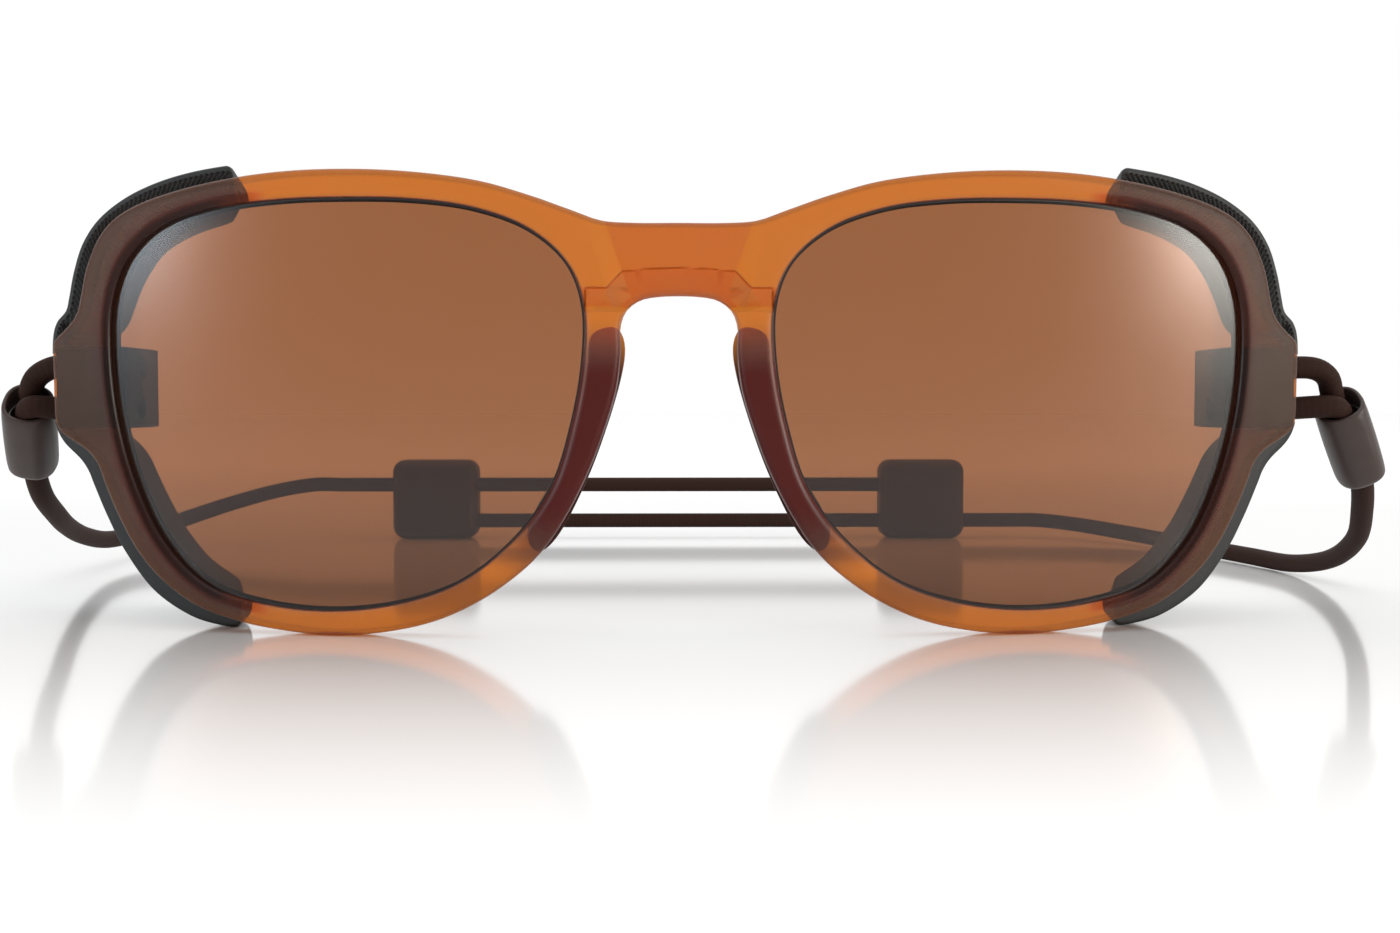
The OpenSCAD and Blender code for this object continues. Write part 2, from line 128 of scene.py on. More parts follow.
class FrontShape(bpy.types.PropertyGroup):
    """Shape of the front, the lenses and the nose pads."""

    wrap: bpy.props.FloatProperty(
        name="Wrap radius", description="Radius of the curved front, seen from above",
        default=0.25, unit="LENGTH",
    )
    thickness: bpy.props.FloatProperty(
        name="Thickness", description="Thickness of the front", default=0.0042, unit="LENGTH",
    )
    edge: bpy.props.FloatProperty(
        name="Outer rounding", description="Rounding of the outer edge",
        default=0.0008, unit="LENGTH",
    )
    slope: bpy.props.FloatProperty(
        name="Inner slope", description="Width of the slope down to the lens",
        default=0.0012, unit="LENGTH",
    )
    recess: bpy.props.FloatProperty(
        name="Bridge recess", description="Depth of the bridge's middle facet",
        default=0.0009, unit="LENGTH",
    )
    lug_w: bpy.props.FloatProperty(
        name="Lug width", description="Width of the end lugs", default=0.0086, unit="LENGTH",
    )
    lug_h: bpy.props.FloatProperty(
        name="Lug height", description="Height of the end lugs", default=0.0098, unit="LENGTH",
    )
    lug_z: bpy.props.FloatProperty(
        name="Lug middle", description="Height of the lugs' middle", default=0.0286,
        unit="LENGTH",
    )
    lens: bpy.props.FloatProperty(
        name="Lens thickness", description="Thickness of a lens", default=0.002, unit="LENGTH",
    )
    pad: bpy.props.FloatProperty(
        name="Pad depth", description="How far the nose pads stand back", default=0.0075,
        unit="LENGTH",
    )


class ShieldShape(bpy.types.PropertyGroup):
    """Shape of the side shields."""

    gap: bpy.props.FloatProperty(
        name="Gap", description="Gap between the front and a shield", default=0.0002,
        unit="LENGTH",
    )
    wall: bpy.props.FloatProperty(
        name="Wall", description="Thickness of the wall", default=0.0014, unit="LENGTH",
    )
    flange: bpy.props.FloatProperty(
        name="Flange", description="Thickness of the flange behind the rim", default=0.0013,
        unit="LENGTH",
    )
    slot: bpy.props.FloatProperty(
        name="Strand slot", description="Height of the slot that parts the lip",
        default=0.0032, unit="LENGTH",
    )
    lean: bpy.props.FloatProperty(
        name="Lean of the ends", description="Angle at which the ends lean outwards",
        default=math.radians(24), subtype="ANGLE",
    )
    rib_pitch: bpy.props.FloatProperty(
        name="Rib pitch", description="Distance from rib to rib on the upper lip",
        default=0.0007, unit="LENGTH",
    )
    rib_depth: bpy.props.FloatProperty(
        name="Rib depth", description="Depth of the grooves between the ribs",
        default=0.0003, unit="LENGTH",
    )


class CordShape(bpy.types.PropertyGroup):
    """Sizes of the cord, the sleeves and the sliders."""

    diameter: bpy.props.FloatProperty(
        name="Cord", description="Diameter of the cord", default=0.0028, unit="LENGTH",
    )
    pitch: bpy.props.FloatProperty(
        name="Strand pitch", description="Distance between the two strands", default=0.005,
        unit="LENGTH",
    )
    squeezed: bpy.props.FloatProperty(
        name="Squeezed cord", description="Diameter inside a sleeve", default=0.0021,
        unit="LENGTH",
    )
    sleeve: bpy.props.FloatProperty(
        name="Sleeve", description="Width of a sleeve", default=0.0058, unit="LENGTH",
    )
    slider_round: bpy.props.FloatProperty(
        name="Slider corners", description="Radius of a slider's corners", default=0.0024,
        unit="LENGTH",
    )


class FinishColours(bpy.types.PropertyGroup):
    """Colours of the finishes."""

    amber: bpy.props.FloatVectorProperty(
        name="Amber", description="Haze of the translucent front", subtype="COLOR",
        default=(0.165, 0.11, 0.088),
    )
    amber_clear: bpy.props.FloatVectorProperty(
        name="Amber depth", description="Colour of light through one face of the front",
        subtype="COLOR", default=(0.99, 0.51, 0.03),
    )
    # Used for painted shade: the deeper faces of the front let through this redder light
    amber_painted_shade: bpy.props.FloatVectorProperty(
        name="Deep amber", description="Colour of light through one of the bridge's facets",
        subtype="COLOR", default=(0.97, 0.32, 0.01),
    )
    lens: bpy.props.FloatVectorProperty(
        name="Lens tint", description="Colour of light through one face of a lens",
        subtype="COLOR", default=(0.572, 0.35, 0.216),
    )
    rubber: bpy.props.FloatVectorProperty(
        name="Shield rubber", description="Colour of the shields", subtype="COLOR",
        default=(0.009, 0.0093, 0.0093),
    )
    pad: bpy.props.FloatVectorProperty(
        name="Nose pad", description="Colour of the nose pads", subtype="COLOR",
        default=(0.045, 0.009, 0.006),
    )
    cord: bpy.props.FloatVectorProperty(
        name="Cord", description="Colour of the cord", subtype="COLOR",
        default=(0.028, 0.013, 0.0095),
    )
    sleeve: bpy.props.FloatVectorProperty(
        name="Sleeve", description="Colour of the sleeves", subtype="COLOR",
        default=(0.045, 0.03, 0.026),
    )
    slider: bpy.props.FloatVectorProperty(
        name="Slider", description="Colour of the sliders", subtype="COLOR",
        default=(0.024, 0.011, 0.008),
    )


# ---- Lines and outlines ----


def smooth_line(points, steps, closed):
    """A Catmull-Rom curve through the points, with steps stretches between two of them."""
    p = np.array(points, float)
    count = len(p)
    made = []
    for i in range(count if closed else count - 1):
        if closed:
            a, b, c, d = (p[(i + k) % count] for k in (-1, 0, 1, 2))
        else:
            a, b, c, d = (p[min(max(i + k, 0), count - 1)] for k in (-1, 0, 1, 2))
        for t in np.arange(steps) / steps:
            made.append(0.5 * (
                2 * b + (c - a) * t + (2 * a - 5 * b + 4 * c - d) * t**2
                + (3 * b - a - 3 * c + d) * t**3
            ))
    if not closed:
        made.append(p[-1])
    return np.array(made)


def evened(line, spacing, closed=False):
    """The same line with points at an even spacing."""
    if closed:
        line = np.vstack([line, line[:1]])
    run = np.concatenate([[0], np.cumsum(np.linalg.norm(np.diff(line, axis=0), axis=1))])
    count = max(2, round(run[-1] / spacing))
    at = np.linspace(0, run[-1], count + 1)
    if closed:
        at = at[:-1]
    return np.stack([np.interp(at, run, line[:, k]) for k in range(line.shape[1])], axis=1)


def outwards(line, closed=True):
    """The outward directions of a clockwise outline."""
    if closed:
        along = np.roll(line, -1, axis=0) - np.roll(line, 1, axis=0)
    else:
        along = np.gradient(line, axis=0)
    along /= np.linalg.norm(along, axis=1)[:, None]
    return np.stack([-along[:, 1], along[:, 0]], axis=1)


def unit(v):
    """A vector of length 1 in the same direction."""
    v = np.array(v, float)
    return v / np.linalg.norm(v)


def mirrored(points, side):
    """The right-hand points, or their mirror image for the left."""
    return points * np.array([side] + [1] * (points.shape[-1] - 1))


def whole_front_edge():
    """The closed outer edge of the front, clockwise, in metres."""
    right = FRONT_EDGE
    left = [(-x, z) for x, z in reversed(FRONT_EDGE[1:-1])]
    return evened(smooth_line(right + left, 6, True) * MM, 0.8 * MM, closed=True)


def lens_edge():
    """The closed edge of the right lens opening, clockwise, in metres."""
    return evened(smooth_line(LENS_EDGE, 8, True) * MM, 0.7 * MM, closed=True)


def bent_y(x, depth, wrap):
    """Where a point lies in y at a depth behind the curved face of the front."""
    return FRONT_Y + wrap - np.sqrt((wrap - depth) ** 2 - x**2)


def quarter(width, height, steps=8):
    """A quarter round as (inset, depth) pairs, from the flat face to the wall."""
    a = np.linspace(0, math.pi / 2, steps + 1)
    return [(width * (1 - math.sin(t)), height * (1 - math.cos(t))) for t in a]


# ---- Meshes ----


def deselect():
    """Leaves nothing selected."""
    for other in bpy.context.selected_objects:
        other.select_set(False)


def only(piece):
    """Selects this piece alone."""
    deselect()
    piece.select_set(True)
    bpy.context.view_layer.objects.active = piece


def places(piece):
    """The places of a piece's vertices."""
    flat = np.zeros(len(piece.data.vertices) * 3, np.float32)
    piece.data.vertices.foreach_get("co", flat)
    return flat.reshape(-1, 3).astype(float)


def put(piece, points):
    """Moves a piece's vertices to the points."""
    piece.data.vertices.foreach_set("co", np.asarray(points, np.float32).ravel())
    piece.data.update()


def choose(piece, picked):
    """Selects vertices by a mask, and the edges and faces between them."""
    mesh = piece.data
    picked = np.asarray(picked, bool)
    mesh.vertices.foreach_set("select", picked)
    ends = np.zeros(len(mesh.edges) * 2, np.int32)
    mesh.edges.foreach_get("vertices", ends)
    mesh.edges.foreach_set("select", picked[ends.reshape(-1, 2)].all(axis=1))
    if len(mesh.polygons):
        corners = np.zeros(len(mesh.loops), np.int32)
        starts = np.zeros(len(mesh.polygons), np.int32)
        mesh.loops.foreach_get("vertex_index", corners)
        mesh.polygons.foreach_get("loop_start", starts)
        whole = np.logical_and.reduceat(picked[corners], starts)
        mesh.polygons.foreach_set("select", whole)


class Editing:
    """Edit mode on one piece, for a with block."""

    def __init__(self, piece):
        self.piece = piece

    def __enter__(self):
        only(self.piece)
        bpy.ops.object.mode_set(mode="EDIT")
        return self

    def __exit__(self, *_):
        bpy.ops.object.mode_set(mode="OBJECT")


def wrapped(name, rings, closed=True):
    """A skin whose rows run through the rings' points, from a grid that is laid on them. A closed
    one is wrapped round and sewn up. The grid's UV map runs round it in U and along it in V."""
    rings = np.asarray(rings, float)
    if closed:
        rings = np.concatenate([rings, rings[:, :1]], axis=1)
    rows, columns = rings.shape[:2]
    deselect()
    bpy.ops.mesh.primitive_grid_add(x_subdivisions=columns - 1, y_subdivisions=rows - 1, size=1)
    piece = bpy.context.object
    piece.name = piece.data.name = name
    if len(piece.data.vertices) != rows * columns:
        raise RuntimeError(f"{name}: the grid has {len(piece.data.vertices)} vertices")
    piece.matrix_world.identity()
    piece.location = (0, 0, 0)
    put(piece, rings.reshape(-1, 3))
    if closed:
        with Editing(piece):
            bpy.ops.mesh.select_all(action="SELECT")
            bpy.ops.mesh.remove_doubles(threshold=1e-7)
    return piece


def on_rings(piece, rings):
    """A mask of the vertices that lie on any of the rings."""
    gaps = places(piece)[:, None, :] - np.vstack(rings)[None, :, :]
    return np.linalg.norm(gaps, axis=2).min(axis=1) < 1e-6


def cap(piece, *rings):
    """Closes each ring of a piece with a face."""
    for ring in rings:
        choose(piece, on_rings(piece, [ring]))
        with Editing(piece):
            bpy.ops.mesh.edge_face_add()


def fill_between(piece, *rings):
    """Fills the flat space between an outer ring and the rings inside it."""
    choose(piece, on_rings(piece, rings))
    with Editing(piece):
        bpy.ops.mesh.fill(use_beauty=True)


def joined(name, pieces):
    """One piece from several."""
    only(pieces[0])
    for piece in pieces[1:]:
        piece.select_set(True)
    bpy.ops.object.join()
    whole = bpy.context.object
    whole.name = whole.data.name = name
    return whole


def cut_along(piece, planes, low=None, high=None):
    """Cuts edges into the faces along planes, each a point and a direction, inside a box."""
    for point, across in planes:
        picked = np.ones(len(piece.data.vertices), bool)
        if low is not None:
            at = places(piece)
            picked = ((at > low) & (at < high)).all(axis=1)
        choose(piece, picked)
        with Editing(piece):
            bpy.ops.mesh.bisect(plane_co=point, plane_no=across)


def mirror_copy(piece, name):
    """A copy of a piece, with its own mesh, mirrored from the right to the left."""
    other = piece.copy()
    other.data = piece.data.copy()
    other.name = other.data.name = name
    bpy.context.scene.collection.objects.link(other)
    put(other, mirrored(places(other), -1))
    with Editing(other):
        bpy.ops.mesh.select_all(action="SELECT")
        bpy.ops.mesh.flip_normals()
    return other


def smoothed(piece, angle):
    """Smooths the shading where faces meet below an angle, in degrees."""
    only(piece)
    bpy.ops.object.shade_smooth_by_angle(angle=math.radians(angle))
    return piece


def closed_up(piece, angle=30):
    """Turns the faces outwards and smooths the shading."""
    with Editing(piece):
        bpy.ops.mesh.select_all(action="SELECT")
        bpy.ops.mesh.normals_make_consistent(inside=False)
    return smoothed(piece, angle)


def with_modifier(piece, kind, **settings):
    """Adds a modifier, sets it and applies it."""
    only(piece)
    modifier = piece.modifiers.new(kind.title(), kind)
    for key, value in settings.items():
        setattr(modifier, key, value)
    bpy.ops.object.modifier_apply(modifier=modifier.name)
    return piece


def combined(piece, tool, operation="DIFFERENCE"):
    """Takes a tool's shape out of a piece, or adds it, and removes the tool."""
    with_modifier(piece, "BOOLEAN", operation=operation, object=tool, solver="EXACT")
    bpy.data.objects.remove(tool)
    return piece


def block(name, low, high):
    """A plain block between two corners, to be shaped or to cut with."""
    low, high = Vector(low), Vector(high)
    deselect()
    bpy.ops.mesh.primitive_cube_add(size=1, location=(low + high) / 2)
    piece = bpy.context.object
    piece.name = piece.data.name = name
    piece.scale = high - low
    bpy.ops.object.transform_apply(location=True, rotation=True, scale=True)
    return piece


def rod(name, start, end, radius, sides=32):
    """A round rod from start to end, to cut with."""
    rings = tube_rings(np.array([start, end], float), [radius, radius], sides)
    piece = wrapped(name, rings)
    cap(piece, rings[0], rings[-1])
    return closed_up(piece)


def bevelled(piece, picked_edges, width, segments):
    """Bevels the edges that a test on their two ends picks."""
    at = places(piece)
    mesh = piece.data
    for item in (mesh.vertices, mesh.polygons):
        item.foreach_set("select", [False] * len(item))
    for e in mesh.edges:
        e.select = bool(picked_edges(at[e.vertices[0]], at[e.vertices[1]]))
    with Editing(piece):
        bpy.ops.mesh.select_mode(type="EDGE")
        bpy.ops.mesh.bevel(offset=width, offset_type="OFFSET", segments=segments, profile=0.5)
        bpy.ops.mesh.select_mode(type="VERT")
    return piece


def tube_rings(path, radii, sides):
    """Rings of points round a path, carried along it without twisting."""
    along = np.gradient(path, axis=0)
    along /= np.linalg.norm(along, axis=1)[:, None]
    start = np.cross(along[0], (0, 0, 1) if abs(along[0][2]) < 0.9 else (1, 0, 0))
    across = unit(start)
    turn = np.linspace(0, 2 * math.pi, sides, endpoint=False)
    rings = []
    for point, direction, radius in zip(path, along, radii):
        across = unit(across - np.dot(across, direction) * direction)
        other = np.cross(direction, across)
        rings.append(
            point + radius * (
                np.cos(turn)[:, None] * across + np.sin(turn)[:, None] * other
            )
        )
    return np.array(rings)


# ---- Shader maths ----


class Value:
    """A shader value. Sums and products of values add the Math nodes."""

    def __init__(self, maker, socket):
        self.maker = maker
        self.socket = socket

    def math(self, operation, *values):
        sockets = {i: v for i, v in enumerate(values)}
        return self.maker.value("ShaderNodeMath", "Value", {"operation": operation}, sockets)

    def __add__(self, other):
        return self.math("ADD", self, other)

    __radd__ = __add__

    def __sub__(self, other):
        return self.math("SUBTRACT", self, other)

    def __rsub__(self, other):
        return self.math("SUBTRACT", other, self)

    def __mul__(self, other):
        return self.math("MULTIPLY", self, other)

    __rmul__ = __mul__

    def __pow__(self, other):
        return self.math("POWER", self, other)

    def sine(self):
        return self.math("SINE", self)

    def ramped(self, low, high):
        """0 below low and 1 above high, with a smooth rise between."""
        return self.maker.value(
            "ShaderNodeMapRange", "Result", {"interpolation_type": "SMOOTHSTEP"},
            {"Value": self, "From Min": low, "From Max": high},
        )


class Maker:
    """Makes the nodes of one material or world."""

    def __init__(self, owner):
        self.owner = owner
        owner.use_nodes = True
        self.tree = owner.node_tree
        self.tree.nodes.clear()

    def node(self, kind, settings=None, sockets=None):
        """Adds a node, with its settings set first and then its sockets' values or links."""
        made = self.tree.nodes.new(kind)
        for key, value in (settings or {}).items():
            setattr(made, key, value)
        for key, value in (sockets or {}).items():
            if isinstance(value, Value):
                self.tree.links.new(value.socket, made.inputs[key])
            elif hasattr(made.inputs[key].default_value, "__len__") and len(value) == 3:
                size = len(made.inputs[key].default_value)
                made.inputs[key].default_value = (*value, 1)[:size]
            else:
                made.inputs[key].default_value = value
        return made

    def value(self, kind, output, settings=None, sockets=None):
        """Adds a node, and gives one of its outputs."""
        return Value(self, self.node(kind, settings, sockets).outputs[output])

    def place(self):
        """The point on the object, in metres."""
        return self.value("ShaderNodeTexCoord", "Object")

    def parts(self, vector):
        """The three parts of a vector."""
        split = self.node("ShaderNodeSeparateXYZ", None, {"Vector": vector})
        return [Value(self, split.outputs[k]) for k in "XYZ"]

    def noise(self, grain, detail=2, rough=0.5, at=None):
        """Noise whose grains are about that size, in metres."""
        return self.value(
            "ShaderNodeTexNoise", "Fac", None,
            {"Vector": at or self.place(), "Scale": 1 / grain, "Detail": detail,
             "Roughness": rough},
        )

    def blend(self, share, a, b):
        """From colour a at 0 to colour b at 1."""
        return self.value(
            "ShaderNodeMix", 2, {"data_type": "RGBA"}, {0: share, 6: a, 7: b},
        )

    def bump(self, height, distance, strength=1.0):
        """A surface normal, pushed by a height between 0 and 1."""
        return self.value(
            "ShaderNodeBump", "Normal", None,
            {"Height": height, "Distance": distance, "Strength": strength},
        )

    def principled(self, **sockets):
        """The main shader. Socket names are written with underscores."""
        named = {
            key.replace("_", " ").title().replace("Ior", "IOR"): value
            for key, value in sockets.items()
        }
        return self.value("ShaderNodeBsdfPrincipled", "BSDF", None, named)

    def mixed(self, share, a, b):
        """Shader a at 0, and shader b at 1."""
        return self.value("ShaderNodeMixShader", "Shader", None, {0: share, 1: a, 2: b})

    def done(self, shader):
        """Ends the tree in the shader."""
        kind = "ShaderNodeOutputWorld" if isinstance(self.owner, bpy.types.World) else (
            "ShaderNodeOutputMaterial"
        )
        self.node(kind, None, {"Surface": shader})
        return self.owner


def scaled(colour, share):
    """A colour, made lighter or darker."""
    return tuple(share * c for c in colour)


def colours():
    """The colours of the finishes, as the user has set them."""
    return bpy.context.scene.glasses_colours


# ---- Finishes ----


def amber_plastic():
    """Translucent satin plastic: what lies behind it shows through, tinted. Edges are hazier, which
    paints a light line along the bevels.
    The facets carry painted light and shade stored on them, and the front is painted darker round
    the nose, as shade where the pads lie behind."""
    m = Maker(bpy.data.materials.new("amber_plastic"))
    haze = colours().amber
    cloud = m.noise(9 * MM, 3)
    grain = m.noise(0.16 * MM, 2)
    x, _, z = m.parts(m.place())
    # Painted shade: the front is darker and less clear round the nose, where the pads lie behind it
    nose = (1 - (x * x).ramped((15 * MM) ** 2, (22 * MM) ** 2)) * (
        1 - z.ramped(29.5 * MM, 36.5 * MM)) * z.ramped(3 * MM, 15 * MM)
    # Painted light and shade stored on the front: lighter and deeper facets, dark creases and dark
    # slopes
    tone = m.value("ShaderNodeAttribute", "Fac", {"attribute_name": "tone"})
    tilt_x, _, tilt_z = m.parts(m.value("ShaderNodeTexCoord", "Normal"))
    # Edges turned away from the front get more haze, which paints a light line along them
    edge = (tilt_x * tilt_x + tilt_z * tilt_z).ramped(0.12, 0.75)
    light = m.blend(cloud, scaled(haze, 0.88), scaled(haze, 1.12))
    # Painted shade: deeper faces take a dark red, and the darkest slopes go near black
    deep = m.blend((0 - tone).ramped(0, 2.5), light, (0.06, 0.012, 0.005))
    deep = m.blend((0 - tone).ramped(3.8, 6), deep, (0.008, 0.002, 0.001))
    body = m.principled(
        # Painted shade round the nose
        base_color=m.blend(nose, deep, (0.075, 0.004, 0.002)),
        roughness=0.33 + 0.1 * m.noise(2.5 * MM, 4),
        specular_ior_level=0.3,
        normal=m.bump(grain, 0.012 * MM, 0.25),
    )
    thin = m.value("ShaderNodeBsdfTransparent", "BSDF", None, {"Color": colours().amber_clear})
    shaded_amber = m.value("ShaderNodeBsdfTransparent", "BSDF", None, {"Color": colours().amber_painted_shade})
    # Painted shade: the deeper faces let through a redder light
    clear = m.mixed((0 - tone).ramped(-0.2, 1.4), thin, shaded_amber)
    # Less shows through where light and shade are painted: round the nose, on the edges and on the
    # deeper faces; more on the lighter faces
    see_through = 0.745 - 0.04 * cloud - 0.52 * nose - 0.2 * edge * (1 - nose) + 0.07 * tone
    return m.done(m.mixed(see_through, body, clear))


def lug_plastic():
    """Nearly black brown plastic of the end lugs."""
    return satin_plastic("lug_satin", (0.006, 0.005, 0.0045), 0.6)


def lens_tint():
    """Brown lens, tinted deeper towards its lower edge as painted shade of the stand seen through
    it. Its faces reflect a little.
    """
    m = Maker(bpy.data.materials.new("lens_tint"))
    shades = [
        m.value("ShaderNodeBsdfTransparent", "BSDF", None, {"Color": colour})
        for colour in (scaled(colours().lens, 0.8), scaled(colours().lens, 1))
    ]
    _, _, z = m.parts(m.place())
    # Painted shade: the lower part of the lens lets through less light
    clear = m.mixed(z.ramped(0, 27 * MM), *shades)
    smudge = m.noise(6 * MM, 3)
    gloss = m.principled(
        base_color=m.blend(smudge, (0.9, 0.9, 0.92), (1, 1, 1)),
        metallic=1.0,
        roughness=0.2 + 0.03 * smudge,
    )
    facing = m.value("ShaderNodeLayerWeight", "Facing", None, {"Blend": 0.5})
    straight_on = 0.04
    return m.done(m.mixed(straight_on + 0.95 * facing**5, clear, gloss))


def lens_rim_painted_shade():
    """Black edge of a lens, in its groove: painted shade of the gap between lens and frame."""
    m = Maker(bpy.data.materials.new("lens_rim_painted_shade"))
    return m.done(m.principled(
        base_color=m.blend(m.noise(0.4 * MM), (0.006, 0.003, 0.003), (0.012, 0.005, 0.004)),
        roughness=0.35 + 0.2 * m.noise(0.3 * MM),
    ))


def rubber(name, colour, roughness, grain):
    """Matte moulded rubber with a fine grain and a few pale specks."""
    m = Maker(bpy.data.materials.new(name))
    fine = m.noise(grain, 3, 0.6)
    specks = m.noise(0.22 * MM, 1).ramped(0.72, 0.8)
    worn = m.noise(3 * MM, 4)
    base = m.blend(worn, scaled(colour, 0.8), scaled(colour, 1.3))
    return m.done(m.principled(
        base_color=m.blend(0.25 * specks, base, (0.12, 0.12, 0.12)),
        roughness=roughness + 0.15 * fine,
        specular_ior_level=0.4,
        normal=m.bump(fine, 0.03 * MM, 0.8),
    ))


def pad_rubber():
    """Soft translucent rubber, lighter towards the top: the pad's own amber, made brighter as
    painted light against the shade behind the front.
    """
    m = Maker(bpy.data.materials.new("pad_rubber"))
    fine = m.noise(0.2 * MM, 3, 0.6)
    _, _, z = m.parts(m.place())
    base = m.blend(fine, scaled(colours().pad, 0.85), scaled(colours().pad, 1.15))
    return m.done(m.principled(
        # Painted light, in part: the top is the pad's own amber, brightened to make up for the
        # shade behind the front
        base_color=m.blend(z.ramped(29 * MM, 35.8 * MM), base, (0.6, 0.22, 0.04)),
        roughness=0.45 + 0.15 * fine,
        specular_ior_level=0.3,
        normal=m.bump(fine, 0.03 * MM, 0.5),
    ))


def cord_cover():
    """Smooth braided cover. The braid follows the cord through its UV map."""
    m = Maker(bpy.data.materials.new("cord_cover"))
    around, along, _ = m.parts(m.value("ShaderNodeUVMap", "UV", {"uv_map": "UVMap"}))
    plaits = 12
    one = (2 * math.pi * (plaits * around + along)).sine()
    other = (2 * math.pi * (plaits * around - along)).sine()
    braid = (0.5 + 0.5 * one * other).ramped(0.1, 0.9)
    fuzz = m.noise(0.12 * MM, 3, 0.7)
    colour = colours().cord
    base = m.blend(0.4 * braid + 0.6 * fuzz, scaled(colour, 0.78), scaled(colour, 1.2))
    return m.done(m.principled(
        base_color=base,
        roughness=0.55 + 0.2 * fuzz,
        specular_ior_level=0.06,
        normal=m.bump(0.5 * braid + 0.5 * fuzz, 0.05 * MM, 0.4),
    ))


def satin_plastic(name, colour, roughness):
    """Satin moulded plastic with a faint grain."""
    m = Maker(bpy.data.materials.new(name))
    grain = m.noise(0.14 * MM, 3, 0.65)
    worn = m.noise(2.2 * MM, 3)
    return m.done(m.principled(
        base_color=m.blend(worn, scaled(colour, 0.85), scaled(colour, 1.2)),
        roughness=roughness + 0.1 * grain + 0.06 * worn,
        specular_ior_level=0.3,
        normal=m.bump(grain, 0.02 * MM, 0.5),
    ))


def drawn_metal():
    """Drawn metal of the crimps and end caps, with lines along the tube."""
    m = Maker(bpy.data.materials.new("drawn_metal"))
    stretched = m.value(
        "ShaderNodeMapping", "Vector", None, {"Vector": m.place(), "Scale": (1, 1, 0.1)},
    )
    lines = m.noise(0.08 * MM, 4, 0.6, at=stretched)
    return m.done(m.principled(
        base_color=m.blend(lines, (0.42, 0.41, 0.4), (0.6, 0.59, 0.57)),
        metallic=1.0,
        roughness=0.28 + 0.2 * lines,
        normal=m.bump(lines, 0.01 * MM, 0.5),
    ))


def stand_gloss():
    """White stand, polished under the glasses and fading to matt in front of them."""
    m = Maker(bpy.data.materials.new("stand_gloss"))
    cloud = m.noise(40 * MM, 2)
    base = m.principled(
        base_color=m.blend(cloud, (0.87, 0.87, 0.87), (0.89, 0.89, 0.89)),
        roughness=0.6,
        specular_ior_level=0.0,
    )
    polish = m.value(
        "ShaderNodeBsdfGlossy", "BSDF", None,
        {"Color": (0.87, 0.87, 0.87), "Roughness": 0.09 + 0.02 * cloud},
    )
    _, y, _ = m.parts(m.place())
    near = y.ramped(-0.125, -0.005) * (1 - y.ramped(0.16, 0.5))
    return m.done(m.mixed(0.6 * near, base, polish))


FINISHES = {}


def finish(name):
    """A finish by name, made once."""
    makers = {
        "amber": amber_plastic,
        "lug": lug_plastic,
        "lens": lens_tint,
        "lens_rim_painted_shade": lens_rim_painted_shade,
        "shield": lambda: rubber("shield_rubber", colours().rubber, 0.5, 0.13 * MM),
        "pad": pad_rubber,
        "bush": lambda: rubber("bush_rubber", scaled(colours().rubber, 1.5), 0.6, 0.2 * MM),
        "cord": cord_cover,
        "sleeve": lambda: satin_plastic("sleeve_satin", colours().sleeve, 0.3),
        "slider": lambda: satin_plastic("slider_satin", colours().slider, 0.36),
        "metal": drawn_metal,
        "stand": stand_gloss,
    }
    if name not in FINISHES:
        FINISHES[name] = makers[name]()
    return FINISHES[name]


def dressed(piece, *names):
    """Gives a piece its finishes."""
    piece.data.materials.clear()
    for name in names:
        piece.data.materials.append(finish(name))
    return piece


# ---- Cords and sleeves ----


def sleeve_points(side_name):
    """Mouth and tail of a sleeve, in metres."""
    ends = np.array(SLEEVE_ENDS[side_name], float) * MM
    ends[:, 1] += FRONT_Y
    return ends


def cord_path(side_name):
    """The smooth centreline of a cord, from inside its sleeve to its end in the far slider."""
    side = SIDES[side_name]
    mouth, tail = sleeve_points(side_name)
    inside = mouth + 7.6 * MM * unit(tail - mouth)
    route = np.array(CORD_ROUTES[side_name], float) * MM
    route[:, 1] += FRONT_Y
    z = CORD_Z[side_name] * MM
    slider_x = sum(c.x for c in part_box("right_slider")) / 2
    stop = slider_x + 1 * MM
    level = [(side * x * MM, CORD_Y, z) for x in LEVEL_STRETCH] + [(-side * stop, CORD_Y, z)]
    points = np.vstack([inside, tail, route, level])
    return evened(smooth_line(points, 12, False), 0.7 * MM)


